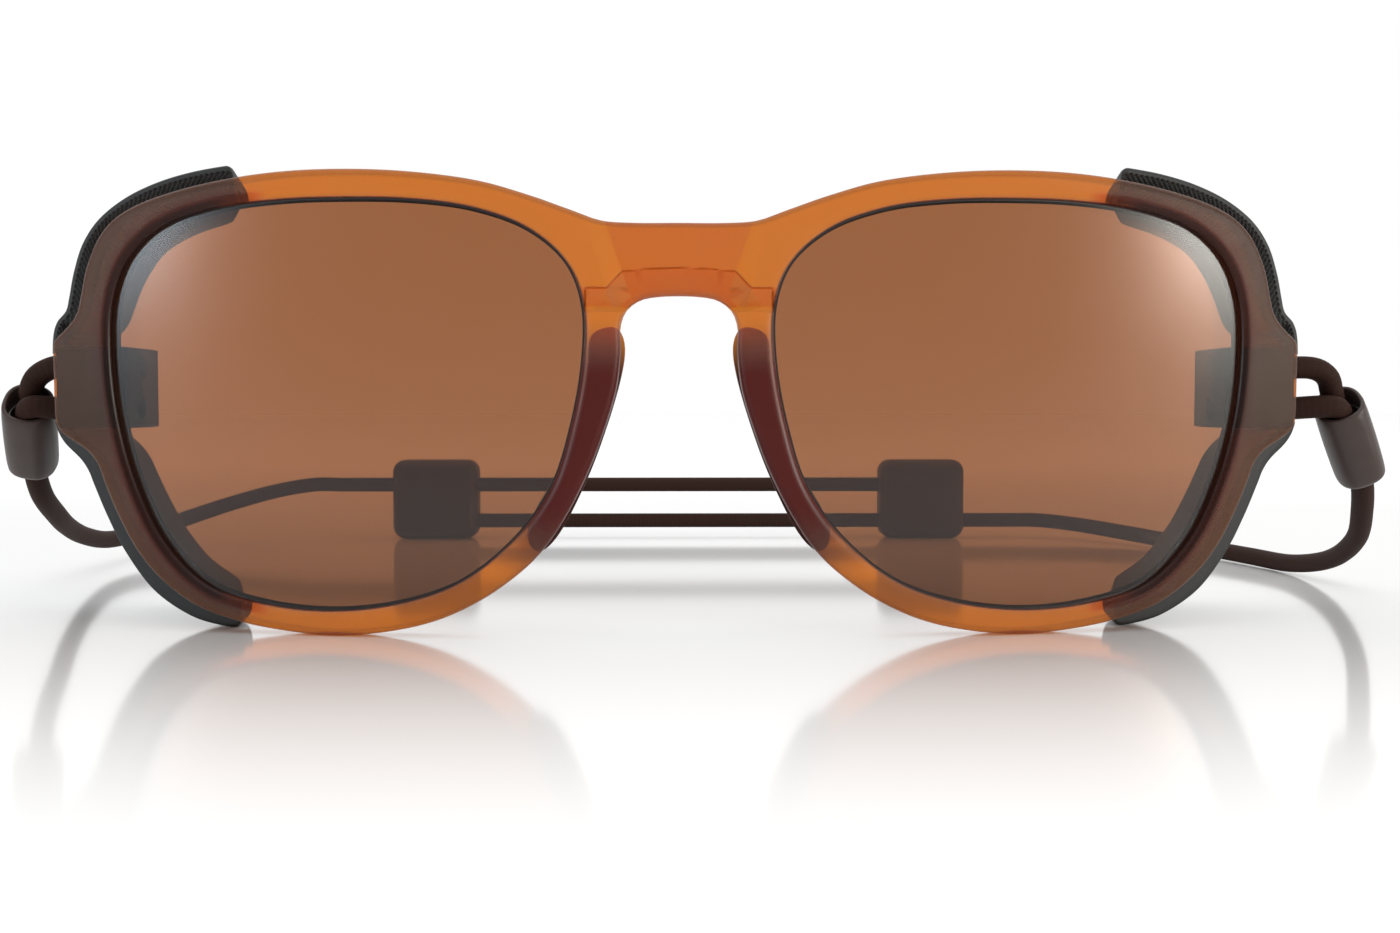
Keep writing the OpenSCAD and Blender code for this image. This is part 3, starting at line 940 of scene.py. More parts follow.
def loop_path(side_name):
    """The centreline of a doubled end: out of the sleeve, through the lug and back."""
    cords = bpy.context.scene.glasses_cords
    front = bpy.context.scene.glasses_front
    s = SIDES[side_name]
    mouth, tail = sleeve_points(side_name)
    a = unit(tail - mouth)
    v = unit([0, -a[2], a[1]]) * (cords.squeezed / 2 + 0.05 * MM)
    half = cords.pitch / 2
    lug_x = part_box("frame_front")[1].x
    bend_x = lug_x - front.lug_w + half + cords.diameter / 2 - 0.2 * MM
    low, high = front.lug_z - half, front.lug_z + half
    points = [
        mouth - v + 7.6 * MM * a, mouth - v + 4 * MM * a, mouth - v + 1.4 * MM * a,
        (mouth[0] - s * 1.1 * MM, mouth[1] - 0.9 * MM, low + 0.2 * MM),
        (s * (lug_x + 1.6 * MM), STRAND_Y - 0.2 * MM, low),
        (s * lug_x, STRAND_Y, low),
        (s * (bend_x + 1.6 * MM), STRAND_Y, low),
    ]
    for w in range(-90, 91, 30):
        w = math.radians(w)
        points.append(
            (s * (bend_x - half * math.cos(w)), STRAND_Y, front.lug_z + half * math.sin(w))
        )
    points += [
        (s * (bend_x + 1.6 * MM), STRAND_Y, high),
        (s * lug_x, STRAND_Y, high),
        (mouth[0] - s * 3.2 * MM, STRAND_Y + 0.1 * MM, high),
        (mouth[0] - s * 1 * MM, mouth[1] + 0.6 * MM, high - 1.1 * MM),
        mouth + v * 1.3 - 0.2 * MM * a, mouth + v + 2 * MM * a, mouth + v + 4 * MM * a,
        mouth + v + 7.6 * MM * a,
    ]
    return evened(smooth_line(points, 10, False), 0.45 * MM)


def length_of(path):
    """The length of a line of points."""
    return float(np.linalg.norm(np.diff(path, axis=0), axis=1).sum())


def cord_tube(name, path, radii):
    """A round cord with closed ends. Its UV map counts the braid's turns in V."""
    rings = tube_rings(path, radii, 20)
    piece = wrapped(name, rings)
    cap(piece, rings[0], rings[-1])
    uv = piece.data.uv_layers[0].uv
    flat = np.zeros(len(uv) * 2, np.float32)
    uv.foreach_get("vector", flat)
    flat = flat.reshape(-1, 2)
    braid_turn = 1.6 * MM
    flat[:, 1] *= length_of(path) / braid_turn
    uv.foreach_set("vector", flat.ravel())
    closed_up(piece, 40)
    return dressed(piece, "cord")


class GLASSES_OT_cords(bpy.types.Operator):
    """Makes the two cords, which cross at the back and end in each other's slider"""

    bl_idname = "glasses.cords"
    bl_label = "Cords"

    def execute(self, context):
        shape = context.scene.glasses_cords
        for name in SIDES:
            path = cord_path(name)
            radii = np.full(len(path), shape.diameter / 2)
            piece = cord_tube(f"{name}_cord_cover", path, radii)
            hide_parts(f"{name}_cord")
        return {"FINISHED"}


class GLASSES_OT_doubled_ends(bpy.types.Operator):
    """Makes the doubled cord ends that go through the lugs"""

    bl_idname = "glasses.doubled_ends"
    bl_label = "Doubled cord ends"

    def execute(self, context):
        shape = context.scene.glasses_cords
        for name in SIDES:
            path = loop_path(name)
            run = np.linspace(0, length_of(path), len(path))
            from_end = np.minimum(run, run[-1] - run)
            opened = np.clip((from_end - 5 * MM) / (3 * MM), 0, 1)
            opened = opened * opened * (3 - 2 * opened)
            radii = (shape.squeezed + (shape.diameter - shape.squeezed) * opened) / 2
            piece = cord_tube(f"{name}_doubled_end", path, radii)
            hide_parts(f"{name}_cord_loop")
            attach(piece, "front")
        return {"FINISHED"}


def squircle(half, sides, power):
    """A square with round corners, as points on a circle pushed out towards it."""
    turn = np.linspace(0, 2 * math.pi, sides, endpoint=False)
    reach = (np.abs(np.cos(turn)) ** power + np.abs(np.sin(turn)) ** power) ** (-1 / power)
    return np.stack([half * reach * np.cos(turn), half * reach * np.sin(turn)], axis=1)


class GLASSES_OT_sleeves(bpy.types.Operator):
    """Makes the moulded sleeves that hold the doubled ends"""

    bl_idname = "glasses.sleeves"
    bl_label = "Sleeves"

    def execute(self, context):
        shape = context.scene.glasses_cords
        wide = shape.sleeve / 2
        hole = shape.diameter / 2 + 0.1 * MM
        for name in SIDES:
            mouth, tail = sleeve_points(name)
            a = unit(tail - mouth)
            v = unit([0, -a[2], a[1]])
            u = np.cross(v, a)
            run = float(np.linalg.norm(tail - mouth))
            # Each row is the half width, how square it is, and how far along.
            rows = [(hole, 2, run - 1.2 * MM), (hole, 2, run - 0.25 * MM)]
            rows += [(hole + 0.3 * MM, 2, run + 0.1 * MM)]
            for w in np.linspace(0, math.pi / 2, 7):
                inset = 0.9 * MM * (1 - math.sin(w))
                rows.append((wide - inset, 2.5, run + 0.1 * MM - 0.9 * MM * (1 - math.cos(w))))
            for t in np.linspace(run - 1.6 * MM, 2 * MM, 7):
                rows.append((wide + 0.12 * MM * math.sin(math.pi * t / run), 2.6, t))
            for w in np.linspace(0, math.pi, 9):
                lip = 0.25 * MM
                rows.append((wide - lip + lip * math.cos(w), 2.5, lip - lip * math.sin(w)))
            rows += [
                (wide - 0.55 * MM, 2.5, 1.2 * MM), (wide - 0.65 * MM, 2.4, 3.2 * MM),
                (wide - 1.0 * MM, 2.2, 3.8 * MM), (1.2 * MM, 2, 4.1 * MM),
            ]
            rings = []
            for half, power, t in rows:
                flat = squircle(half, 48, power)
                # The mouth slants, lower at the front.
                slant = 1.2 * MM * np.clip(1 - t / (2 * MM), 0, 1) * (0.5 - flat[:, 1:] / wide / 2)
                rings.append(mouth + a * (t + slant) + flat[:, :1] * u + flat[:, 1:] * v)
            rings = np.array(rings)
            piece = wrapped(f"{name}_cord_sleeve", rings)
            cap(piece, rings[0], rings[-1])
            closed_up(piece, 35)
            dressed(piece, "sleeve")
            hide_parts(f"{name}_sleeve")
            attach(piece, "front")
        return {"FINISHED"}


class GLASSES_OT_sliders(bpy.types.Operator):
    """Makes the two sliders that take up the cord at the back"""

    bl_idname = "glasses.sliders"
    bl_label = "Cord sliders"

    def execute(self, context):
        shape = context.scene.glasses_cords
        hole = shape.diameter / 2 + 0.12 * MM
        for name, side in SIDES.items():
            low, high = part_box(f"{name}_slider")
            piece = block(f"{name}_cord_slider", low, high)
            level = 1e-6

            def along_y(a, b):
                return abs(a[1] - b[1]) > level

            def on_face(a, b):
                return abs(a[1] - b[1]) < level and abs(abs(a[1] - CORD_Y) - half) < level

            half = (high.y - low.y) / 2
            bevelled(piece, along_y, shape.slider_round, 10)
            bevelled(piece, on_face, 1.1 * MM, 6)
            middle = (low.x + high.x) / 2
            own, other = CORD_Z[name] * MM, CORD_Z["left" if side > 0 else "right"] * MM
            past = (high.x - low.x) / 2 + 1 * MM
            tools = [
                rod("through_bore", (middle - past, CORD_Y, own), (middle + past, CORD_Y, own),
                    hole),
                rod("end_bore", (middle - side * past, CORD_Y, other),
                    (middle + side * 4 * MM, CORD_Y, other), hole),
            ]
            for tool in tools:
                combined(piece, tool)
            smoothed(piece, 30)
            dressed(piece, "slider")
            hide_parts(f"{name}_slider")
            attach(piece, f"{name}_cord_slider")
        return {"FINISHED"}


# ---- Front, lenses and nose pads ----


def line_gap(x, z, line):
    """The distance of each point from a line of stretches."""
    gap = np.full(np.shape(x), np.inf)
    for (xa, za), (xb, zb) in zip(line, line[1:]):
        run = (xb - xa) ** 2 + (zb - za) ** 2
        t = np.clip(((x - xa) * (xb - xa) + (z - za) * (zb - za)) / run, 0, 1)
        gap = np.minimum(gap, np.hypot(x - xa - t * (xb - xa), z - za - t * (zb - za)))
    return gap


# The crease under the bridge's middle facet, and down beside the lens, in mm
CREASE = [(0, 41.9), (3.2, 41.8), (6.4, 41.5), (8.1, 39.6), (10.5, 39.6), (10.7, 36.9)]


def bridge_depth(x, z):
    """How far the bridge's facets lie behind the face of the front, in metres."""
    shape = bpy.context.scene.glasses_front
    a = np.abs(x) / MM
    h = z / MM
    inner = np.interp(h, [41.5, 47], [6.4, 8.3])
    outer = np.interp(h, [39.6, 47], [8.2, 10.5])
    recess = shape.recess * np.clip((outer - a) / (outer - inner), 0, 1)
    step = np.interp(a, [0, 3.2, 6.4, 8.1, 10.5], [41.9, 41.8, 41.5, 39.6, 39.6])
    below = np.clip(step - h, 0, 3.2)
    chamfer = 0.5 * MM * below
    pillar = np.clip((37.6 - h) / 0.7, 0, 1)
    chamfer = chamfer * (1 - pillar) + pillar * 0.25 * MM * np.clip((h - 33) / 3.9, 0, 1)
    recess = recess * (1 - pillar)
    crease = 0.16 * MM * np.clip(1 - line_gap(a, h, CREASE) / 0.16, 0, 1)
    near = np.clip((10.9 - a) / 0.3, 0, 1) * np.clip((h - 33) / 0.5, 0, 1)
    return (recess + chamfer) * near + crease


def swept_profile(name, edge, profile, inwards):
    """A skin round a closed edge, through (inset, depth) pairs. It is flat until it is bent."""
    out = outwards(edge)
    rings = []
    for inset, depth in profile:
        ring = edge + (-inset if inwards else inset) * out
        rings.append(np.stack([ring[:, 0], np.full(len(ring), depth), ring[:, 1]], axis=1))
    return wrapped(name, rings), np.array(rings)


def end_lug(side):
    """The block behind one end of the front, with the two holes for the strands."""
    shape = bpy.context.scene.glasses_front
    cords = bpy.context.scene.glasses_cords
    low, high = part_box("frame_front")
    x0, x1 = high.x - shape.lug_w, high.x - 0.02 * MM
    # The block starts inside the rim, which the wrap has carried back by then.
    carried_back = 8.1 * MM
    y0 = FRONT_Y + shape.thickness + carried_back
    z0, z1 = shape.lug_z - shape.lug_h / 2, shape.lug_z + shape.lug_h / 2
    corners = sorted([side * x0, side * x1])
    piece = block("lug", (corners[0], y0, z0), (corners[1], high.y, z1))
    bevelled(piece, lambda a, b: min(a[1], b[1]) > high.y - 1e-6, 0.8 * MM, 5)
    bevelled(
        piece,
        lambda a, b: abs(a[1] - b[1]) > 2 * MM,
        0.6 * MM, 4,
    )
    for z in (shape.lug_z - cords.pitch / 2, shape.lug_z + cords.pitch / 2):
        tool = rod(
            "lug_hole", (side * (x0 - 2 * MM), STRAND_Y, z), (side * (x1 + 2 * MM), STRAND_Y, z),
            cords.diameter / 2 + 0.1 * MM,
        )
        combined(piece, tool)
    return piece


def paint_facet_shading(piece):
    """Stores painted light and shade: bridge facets lighter or deeper by how they face the light,
    dark creases, and dark painted shade on the slopes beside the lenses where a shield lies behind
    them."""
    mesh = piece.data
    at = places(piece) / MM
    # Painted shade along the creases
    painted_crease_shade = 2.6 * np.clip(1 - line_gap(np.abs(at[:, 0]), at[:, 2], CREASE) / 0.1, 0, 1)
    beside = line_gap(np.abs(at[:, 0]), at[:, 2], lens_edge() / MM)
    near_lens = np.clip((1.3 - beside) / 0.5, 0, 1)
    over_shield = np.clip((np.abs(at[:, 0]) - 47) / 7, 0, 1)
    # Painted shade on the slopes beside the lenses, over the shields
    slope = 6 * near_lens * over_shield
    painted_shadings = mesh.attributes.new("tone", "FLOAT", "CORNER")
    values = np.zeros(len(mesh.loops), np.float32)
    middle = bpy.context.scene.glasses_front.thickness / 2
    for face in mesh.polygons:
        a, depth, h = abs(face.center.x) / MM, face.center.y, face.center.z / MM
        if depth > middle:
            continue
        if a > 11 or h < 33:
            for loop in face.loop_indices:
                values[loop] = 0 - slope[mesh.loops[loop].vertex_index]
            continue
        inner = np.interp(h, [41.5, 47], [6.4, 8.3])
        outer = np.interp(h, [39.6, 47], [8.2, 10.5])
        crease = np.interp(a, [0, 3.2, 6.4, 8.1, 10.5], [41.9, 41.8, 41.5, 39.6, 39.6])
        # Painted light and shade: up-facing facets lighter, down-facing ones deeper
        if h > crease:
            tone = -0.55 if a < inner else 0.35 if a < outer else 0
        elif h > 37.6:
            tone = -1.0 if a < 6.4 else -0.5 if a < 8.4 else -0.75
        else:
            tone = 1.0 if h > 36.9 else 0
        for loop in face.loop_indices:
            values[loop] = tone - painted_crease_shade[mesh.loops[loop].vertex_index]
    painted_shadings.data.foreach_set("value", values)


class GLASSES_OT_front(bpy.types.Operator):
    """Makes the one-piece front with its bevels, lens grooves, bridge facets and end lugs"""

    bl_idname = "glasses.front"
    bl_label = "Front"

    def execute(self, context):
        shape = context.scene.glasses_front
        t = shape.thickness
        back = [(inset, t - depth) for inset, depth in reversed(quarter(0.7 * MM, 0.6 * MM))]
        outer = quarter(shape.edge, 0.7 * MM) + back
        groove = 0.16 * MM
        lens_front, lens_back = t / 2 - shape.lens / 2, t / 2 + shape.lens / 2
        inner = quarter(shape.slope, 0.75 * MM) + [
            (0, lens_front - 0.05 * MM), (groove, lens_front - 0.05 * MM),
            (groove, lens_back + 0.05 * MM), (0, lens_back + 0.05 * MM),
        ] + back
        pieces, fronts, backs = [], [], []
        skin, rings = swept_profile("rim", whole_front_edge(), outer, True)
        pieces.append(skin)
        fronts.append(rings[0])
        backs.append(rings[-1])
        for side in SIDES.values():
            edge = mirrored(lens_edge(), side)
            if side < 0:
                edge = edge[::-1]
            skin, rings = swept_profile("opening", edge, inner, False)
            pieces.append(skin)
            fronts.append(rings[0])
            backs.append(rings[-1])
        piece = joined("front_moulding", pieces)
        fill_between(piece, *fronts)
        fill_between(piece, *backs)
        self.cut_facets(piece)
        paint_facet_shading(piece)
        at = places(piece)
        front_half = at[:, 1] < lens_front
        at[:, 1] += np.where(front_half, bridge_depth(at[:, 0], at[:, 2]), 0)
        at[:, 1] = bent_y(at[:, 0], at[:, 1], shape.wrap)
        put(piece, at)
        dressed(closed_up(piece, 17), "amber")
        for side in SIDES.values():
            lug = dressed(end_lug(side), "lug")
            smoothed(lug, 25)
            piece = joined("front_moulding", [piece, lug])
        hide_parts("frame_front")
        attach(piece, "front")
        return {"FINISHED"}

    def cut_facets(self, piece):
        """Cuts the face along upright lines, so that it can bend, and along the facets' edges."""
        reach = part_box("frame_front")[1].x
        upright = [
            (Vector((x, 0, 0)), Vector((1, 0, 0)))
            for x in np.arange(-reach + 2 * MM, reach, 2.5 * MM)
        ]
        cut_along(piece, upright)
        low, high = np.array([-11.4, -1, 32.4]) * MM, np.array([11.4, 2.5, 49]) * MM
        lines = [((-9, z), (9, z)) for z in (39.6, 37.6, 36.9, 35, 33.5, 33)]
        for side in SIDES.values():
            lines += [
                ((side * 6.4, 41.5), (side * 8.3, 47)), ((side * 8.2, 39.6), (side * 10.5, 47)),
                ((side * 10.6, 30), (side * 10.6, 50)), ((side * 10.9, 30), (side * 10.9, 50)),
            ]
            for (xa, za), (xb, zb) in zip(CREASE, CREASE[1:]):
                run = math.hypot(xb - xa, zb - za)
                for gap in (-0.16, 0, 0.16):
                    dx, dz = -gap * (zb - za) / run, gap * (xb - xa) / run
                    lines.append(((side * (xa + dx), za + dz), (side * (xb + dx), zb + dz)))
        facets = []
        for (xa, za), (xb, zb) in lines:
            across = Vector((zb - za, 0, xa - xb)).normalized()
            facets.append((Vector((xa, 0, za)) * MM, across))
        cut_along(piece, facets, low, high)


class GLASSES_OT_lenses(bpy.types.Operator):
    """Makes the two tinted lenses with their black edges, painted shade of the gap to the frame"""

    bl_idname = "glasses.lenses"
    bl_label = "Lenses"

    def execute(self, context):
        shape = context.scene.glasses_front
        middle = shape.thickness / 2
        for name, side in SIDES.items():
            edge = mirrored(lens_edge(), side)
            if side < 0:
                edge = edge[::-1]
            thin = shape.lens / 2
            profile = [
                (-0.22 * MM, middle - thin), (0.04 * MM, middle - thin),
                (0.12 * MM, middle - thin + 0.15 * MM), (0.12 * MM, middle + thin - 0.15 * MM),
                (0.04 * MM, middle + thin), (-0.22 * MM, middle + thin),
            ]
            piece, rings = swept_profile(f"{name}_tinted_lens", edge, profile, False)
            rim_faces = len(piece.data.polygons)
            fill_between(piece, rings[0])
            fill_between(piece, rings[-1])
            low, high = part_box(f"{name}_lens")
            upright = [
                (Vector((x, 0, 0)), Vector((1, 0, 0)))
                for x in np.arange(low.x + 1.5 * MM, high.x, 2 * MM)
            ]
            # The side faces take the black edge, painted shade of the gap to the frame
            dressed(piece, "lens", "lens_rim_painted_shade")
            for face in piece.data.polygons:
                face.material_index = 1 if face.index < rim_faces else 0
            cut_along(piece, upright)
            at = places(piece)
            at[:, 1] = bent_y(at[:, 0], at[:, 1], shape.wrap)
            put(piece, at)
            closed_up(piece, 30)
            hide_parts(f"{name}_lens")
            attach(piece, "front")
        return {"FINISHED"}


class GLASSES_OT_nose_pads(bpy.types.Operator):
    """Makes the soft nose pads behind the rims"""

    bl_idname = "glasses.nose_pads"
    bl_label = "Nose pads"

    def execute(self, context):
        shape = context.scene.glasses_front
        start = shape.thickness - 0.15 * MM
        for name, side in SIDES.items():
            edge = mirrored(evened(smooth_line(PAD_EDGE, 8, True) * MM, 0.6 * MM, True), side)
            if side < 0:
                edge = edge[::-1]
            out = outwards(edge)
            rings = []
            for share in np.linspace(0, 1, 12):
                narrow = 1.25 * MM * share**2.4
                swell = 0.25 * MM * math.sin(math.pi * min(1.0, 1.3 * share))
                ring = edge + (swell - narrow) * out
                # The pad leans towards the temples as it goes back.
                ring[:, 0] += side * 1.1 * MM * share
                taper = 1 - 0.16 * share**1.5
                ring[:, 1] = 23 * MM + (ring[:, 1] - 23 * MM) * taper
                depth = start + (shape.pad - 0.1 * MM) * math.sin(share * math.pi / 2)
                rings.append(np.stack(
                    [ring[:, 0], bent_y(ring[:, 0], depth, shape.wrap), ring[:, 1]], axis=1
                ))
            rings = np.array(rings)
            piece = wrapped(f"{name}_soft_nose_pad", rings)
            cap(piece, rings[0], rings[-1])
            closed_up(piece, 40)
            with_modifier(piece, "BEVEL", width=0.4 * MM, segments=4, limit_method="ANGLE",
                          angle_limit=math.radians(40))
            dressed(piece, "pad")
            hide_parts(f"{name}_nose_pad")
            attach(piece, "front")
        return {"FINISHED"}


# ---- Side shields ----


def flange_reach(edge):
    """Where the flange ends, on the way from each point of the shield's edge to the lens."""
    grown = lens_edge() + 1 * MM * outwards(lens_edge())
    centre = np.array([38.7, 26.5]) * MM
    angles = np.arctan2(grown[:, 1] - centre[1], grown[:, 0] - centre[0])
    order = np.argsort(angles)
    radii = np.linalg.norm(grown - centre, axis=1)
    wanted = np.arctan2(edge[:, 1] - centre[1], edge[:, 0] - centre[0])
    reach = np.interp(wanted, angles[order], radii[order], period=2 * math.pi)
    ends = centre + reach[:, None] * np.stack([np.cos(wanted), np.sin(wanted)], axis=1)
    ends[:, 0] = np.maximum(ends[:, 0], 52.1 * MM)
    return ends


def shield_back(x):
    """How far back the right shield reaches at x: its ends lean outwards to a rounded corner."""
    shape = bpy.context.scene.glasses_shields
    front = bpy.context.scene.glasses_front
    lean = shape.lean
    r = 3 * MM
    x0 = 50.6 * MM
    start = bent_y(x0, 0, front.wrap) + front.thickness + shape.flange + 0.5 * MM
    middle_y = SHIELD_BACK_Y - r
    middle_x = x0 + (r + (middle_y - start) * math.sin(lean)) / math.cos(lean)
    if x >= middle_x:
        return SHIELD_BACK_Y
    if x > middle_x - r * math.cos(lean):
        return middle_y + math.sqrt(r**2 - (x - middle_x) ** 2)
    return start + (x - x0) / math.tan(lean)


def shield_rings():
    """The cross-sections of the right shield, from its upper end to its lower end."""
    shape = bpy.context.scene.glasses_shields
    front = bpy.context.scene.glasses_front
    edge = evened(smooth_line(SHIELD_EDGE, 8, False) * MM, 0.14 * MM)
    out = outwards(edge, closed=False)
    run = np.concatenate([[0], np.cumsum(np.linalg.norm(np.diff(edge, axis=0), axis=1))])
    # The outer corners of the two ends are round.
    corner = 0.9 * MM
    from_end = np.minimum(np.minimum(run, run[-1] - run), corner)
    edge = edge - (corner - np.sqrt(corner**2 - (corner - from_end) ** 2))[:, None] * out
    ends = flange_reach(edge)
    start = front.thickness + shape.gap
    wall = shape.wall
    lip = 0.45 * MM
    rings = []
    for point, normal, end, s in zip(edge, out, ends, run):
        upper = np.clip((point[1] - front.lug_z) / (1 * MM), 0, 1)
        y0 = bent_y(point[0], start, front.wrap)
        back = max(shield_back(point[0]), y0 + shape.flange + 1.6 * MM)
        above_lug = np.clip((point[1] / MM - 38) / 8, 0, 1)
        sink = (0.8 + 1.2 * above_lug) * MM
        section = []

        def add(inset, y):
            # The wall sinks inwards towards its back edge.
            share = np.clip((y - y0 - 2 * lip) / (back - y0 - 2 * lip), 0, 1)
            at = point - (inset + sink * share) * normal
            section.append((at[0], y, at[1]))

        # Front face, with its ribs, out to the round lip
        for inset in np.arange(2.35, 0.4, -0.25) * MM:
            turn = 2 * math.pi * (s - 0.9 * inset) / shape.rib_pitch
            groove = (0.5 - 0.5 * math.cos(turn)) ** 0.7 * upper
            edge_of_band = np.clip((inset - 0.62 * MM) / (0.25 * MM), 0, 1)
            x = point[0] - inset * normal[0]
            add(inset, bent_y(x, start, front.wrap) + shape.rib_depth * groove * edge_of_band)
        for w in np.linspace(0.15, math.pi / 2, 6):
            add(lip * (1 - math.sin(w)), y0 + lip * (1 - math.cos(w)))
        # Outer side and round back edge
        for share in (0.1, 0.3, 0.5, 0.7, 0.9):
            add(0, y0 + lip + share * (back - wall / 2 - y0 - lip))
        for w in np.linspace(0, math.pi, 7):
            add(wall / 2 - wall / 2 * math.cos(w), back - wall / 2 + wall / 2 * math.sin(w))
        # Inner side, forward to the flange and round its edge
        flange_back = y0 + shape.flange
        for share in (0.7, 0.35, 0.1):
            add(wall, flange_back + 0.5 * MM + share * (back - wall / 2 - flange_back - 0.5 * MM))
        add(wall + 0.1 * MM, flange_back + 0.2 * MM)
        inner = point - (wall + 0.5 * MM) * normal
        for share, shift in ((0.0, 0), (0.5, 0), (0.93, 0), (1.0, 0.25)):
            at = inner + share * (end - inner)
            y = bent_y(at[0], start + shape.flange, front.wrap)
            section.append((at[0], y - shift * MM, at[1]))
        outer = point - 2.35 * MM * normal
        for share, shift in ((1.0, 0.25), (0.93, 0), (0.5, 0)):
            at = outer + share * (end - outer)
            y = bent_y(at[0], start, front.wrap)
            section.append((at[0], y + shift * MM, at[1]))
        rings.append(section)
    return np.array(rings)


class GLASSES_OT_shields(bpy.types.Operator):
    """Makes the rubber side shields, with a ribbed upper lip and the openings for lug and cord"""

    bl_idname = "glasses.shields"
    bl_label = "Side shields"

    def execute(self, context):
        shape = context.scene.glasses_shields
        front = context.scene.glasses_front
        cords = context.scene.glasses_cords
        lug_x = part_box("frame_front")[1].x
        far = 12 * MM
        lug_low, lug_high = front.lug_z - front.lug_h / 2, front.lug_z + front.lug_h / 2
        window = cords.pitch / 2 + cords.diameter / 2 + 0.3 * MM
        deep = cords.diameter / 2 + 0.4 * MM
        rings = shield_rings()
        piece = wrapped("right_side_shield", rings)
        cap(piece, rings[0], rings[-1])
        closed_up(piece, 40)
        gap = shape.gap
        openings = [
            block(
                "opening", (lug_x - front.lug_w - gap, FRONT_Y - far, lug_low - gap),
                (lug_x + gap, SHIELD_BACK_Y + far, lug_high + gap),
            ),
            block(
                "opening", (lug_x, STRAND_Y - deep, front.lug_z - window),
                (lug_x + far, STRAND_Y + deep, front.lug_z + window),
            ),
            block(
                "opening", (lug_x, FRONT_Y - far, front.lug_z - shape.slot / 2),
                (lug_x + far, STRAND_Y, front.lug_z + shape.slot / 2),
            ),
        ]
        tool = combined(combined(openings[0], openings[1], "UNION"), openings[2], "UNION")
        combined(piece, tool)
        smoothed(piece, 38)
        dressed(piece, "shield")
        other = mirror_copy(piece, "left_side_shield")
        for name, shield in (("right", piece), ("left", other)):
            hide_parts(f"{name}_shield")
            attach(shield, f"{name}_side_shield")
        return {"FINISHED"}


# ---- Small fittings, camera, stage ----


class GLASSES_OT_fittings(bpy.types.Operator):
    bl_idname = "glasses.fittings"
    bl_label = "Fittings"

    def execute(self, context):
        for name in SIDES:
            dressed(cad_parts[f"{name}_crimp"], "metal")
            dressed(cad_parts[f"{name}_cord_end"], "metal")
            dressed(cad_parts[f"{name}_grip_bush"], "bush")
        for name, side in SIDES.items():
            piece = bpy.data.objects[f"{name}_cord_cover"]
            path = cord_path(name)
            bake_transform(piece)
            tuple(sleeve_points(name)[1])
        return {"FINISHED"}


class GLASSES_OT_camera(bpy.types.Operator):
    """Places the camera level with the lenses, looking at the front"""

    bl_idname = "glasses.camera"
    bl_label = "Camera"

    def execute(self, context):
        lens = bpy.data.cameras.new("camera")
        lens.sensor_width = 36
        lens.lens = 37.57
        camera = bpy.data.objects.new("camera", lens)
        context.scene.collection.objects.link(camera)
        camera.location = (0, FRONT_Y - 164 * MM, 26.5 * MM)
        camera.rotation_euler = (math.radians(87.59), 0, math.radians(-0.82))
        lens.clip_start = 5 * MM
        context.scene.camera = camera
        return {"FINISHED"}


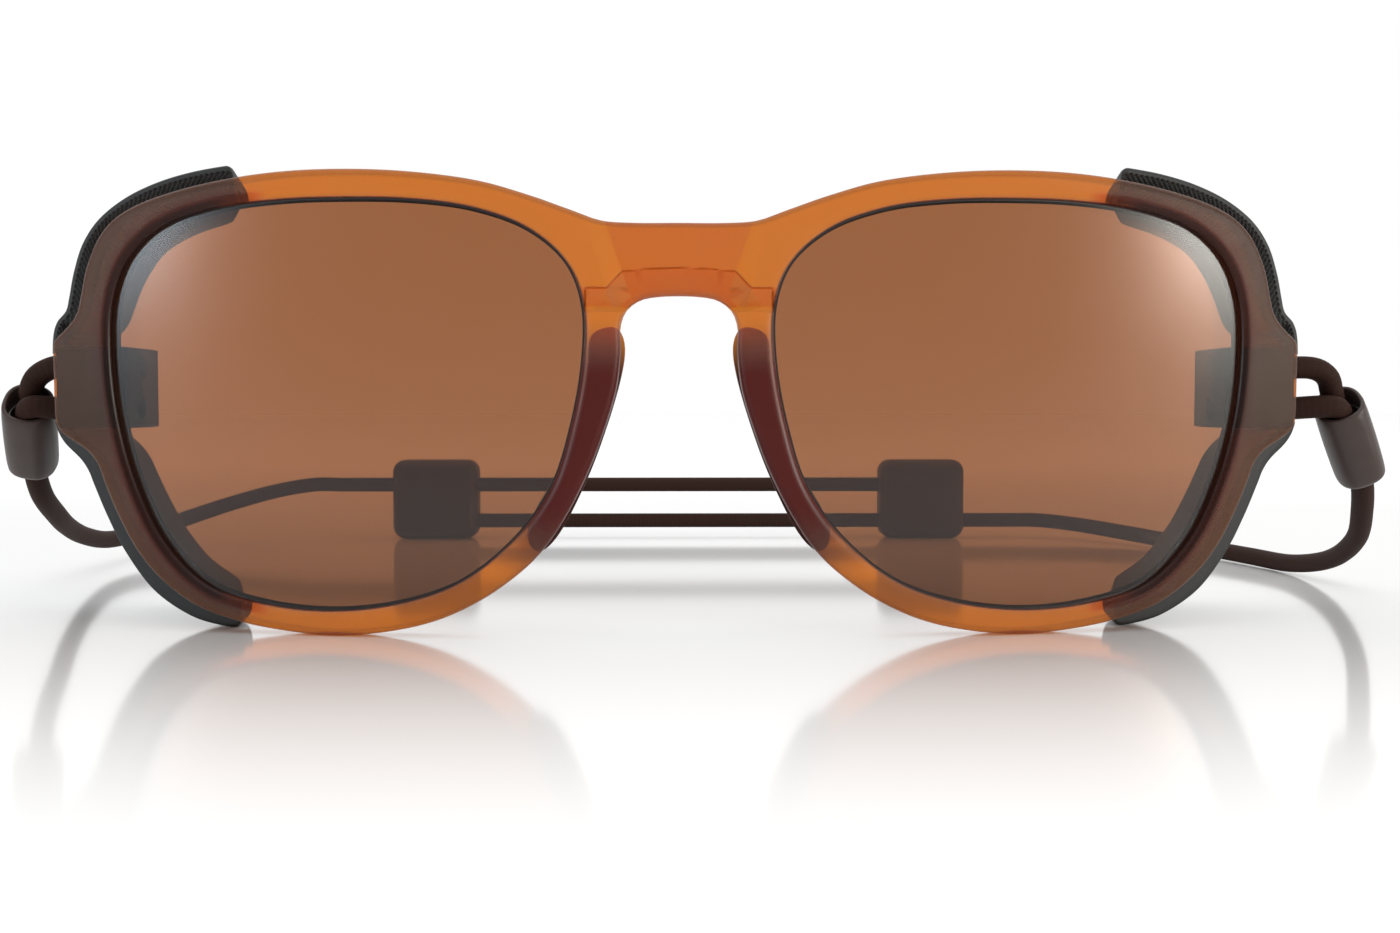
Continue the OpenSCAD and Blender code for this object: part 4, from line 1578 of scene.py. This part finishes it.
class GLASSES_OT_stage(bpy.types.Operator):
    """Lays the glossy white stand and sets the soft studio light"""

    bl_idname = "glasses.stage"
    bl_label = "Stage"

    def execute(self, context):
        deselect()
        bpy.ops.mesh.primitive_grid_add(x_subdivisions=4, y_subdivisions=4, size=8)
        stand = bpy.context.object
        stand.name = "stand"
        stand.location = (0, 0, 0)
        at = places(stand)
        at[:, 2] = STAND_Z - 0.05 * MM
        put(stand, at)
        dressed(stand, "stand")
        self.light(context)
        self.lamp("overhead", 0, 80, 0.8, (0.9, 0.6), 0.55, (1, 1, 1))
        self.lamp("right_box", 58, 10, 1.4, (0.5, 0.2), 12, (1, 0.98, 0.9))
        self.lamp("left_box", -58, 10, 1.4, (0.5, 0.2), 6, (0.82, 0.93, 1))
        context.scene.view_settings.view_transform = "Standard"
        return {"FINISHED"}

    def lamp(self, name, around, up, far, size, energy, colour):
        """A soft box that faces the glasses, at angles around from the front and up."""
        light = bpy.data.lights.new(name, "AREA")
        light.shape = "RECTANGLE"
        light.size, light.size_y = size
        light.energy = energy
        light.color = colour
        box = bpy.data.objects.new(name, light)
        bpy.context.scene.collection.objects.link(box)
        around, up = math.radians(around), math.radians(up)
        towards = Vector((
            math.sin(around) * math.cos(up), -math.cos(around) * math.cos(up), math.sin(up),
        ))
        box.location = far * towards + Vector((0, 0, 0.03))
        box.rotation_euler = towards.to_track_quat("Z", "Y").to_euler()
        box.visible_camera = False

    def light(self, context):
        """A white studio: a bright wall behind, and a dimmer room in front and above."""
        world = bpy.data.worlds.new("studio")
        context.scene.world = world
        m = Maker(world)
        _, y, z = m.parts(m.value("ShaderNodeTexCoord", "Generated"))
        room = 0.22 + 0.78 * y.ramped(-0.3, 0.25) + 0.8 * z.ramped(0.3, 0.9)
        shades = m.value(
            "ShaderNodeBackground", "Background", None, {"Color": (1, 1, 1), "Strength": room},
        )
        wall = m.value(
            "ShaderNodeBackground", "Background", None, {"Color": (1, 1, 1), "Strength": 1.0},
        )
        seen = m.value("ShaderNodeLightPath", "Is Camera Ray")
        m.done(m.mixed(seen, shades, wall))


class GLASSES_PT_panel(bpy.types.Panel):
    """Lists the pieces, in the order in which they are made"""

    bl_label = "Glacier glasses"
    bl_idname = "GLASSES_PT_panel"
    bl_space_type = "VIEW_3D"
    bl_region_type = "UI"
    bl_category = "Glasses"

    def draw(self, context):
        for operator in OPERATORS:
            self.layout.operator(operator.bl_idname)
        for group in ("glasses_front", "glasses_shields", "glasses_cords", "glasses_colours"):
            box = self.layout.box()
            owner = getattr(context.scene, group)
            for key in owner.bl_rna.properties.keys():
                if key not in ("rna_type", "name"):
                    box.prop(owner, key)


GROUPS = {
    "glasses_front": FrontShape,
    "glasses_shields": ShieldShape,
    "glasses_cords": CordShape,
    "glasses_colours": FinishColours,
}
OPERATORS = (
    GLASSES_OT_camera,
    GLASSES_OT_cords,
    GLASSES_OT_doubled_ends,
    GLASSES_OT_sleeves,
    GLASSES_OT_sliders,
    GLASSES_OT_front,
    GLASSES_OT_lenses,
    GLASSES_OT_nose_pads,
    GLASSES_OT_shields,
    GLASSES_OT_fittings,
    GLASSES_OT_stage,
)


def register():
    for kind in (*GROUPS.values(), *OPERATORS, GLASSES_PT_panel):
        bpy.utils.register_class(kind)
    for name, kind in GROUPS.items():
        setattr(bpy.types.Scene, name, bpy.props.PointerProperty(type=kind))


def unregister():
    for name in GROUPS:
        delattr(bpy.types.Scene, name)
    for kind in (GLASSES_PT_panel, *reversed(OPERATORS), *reversed(list(GROUPS.values()))):
        bpy.utils.unregister_class(kind)


def main():
    register()
    bpy.ops.glasses.camera()
    bpy.ops.glasses.cords()
    bpy.ops.glasses.doubled_ends()
    bpy.ops.glasses.sleeves()
    bpy.ops.glasses.sliders()
    bpy.ops.glasses.front()
    bpy.ops.glasses.lenses()
    bpy.ops.glasses.nose_pads()
    bpy.ops.glasses.shields()
    bpy.ops.glasses.fittings()
    bpy.ops.glasses.stage()


if __name__ == "__main__":
    main()
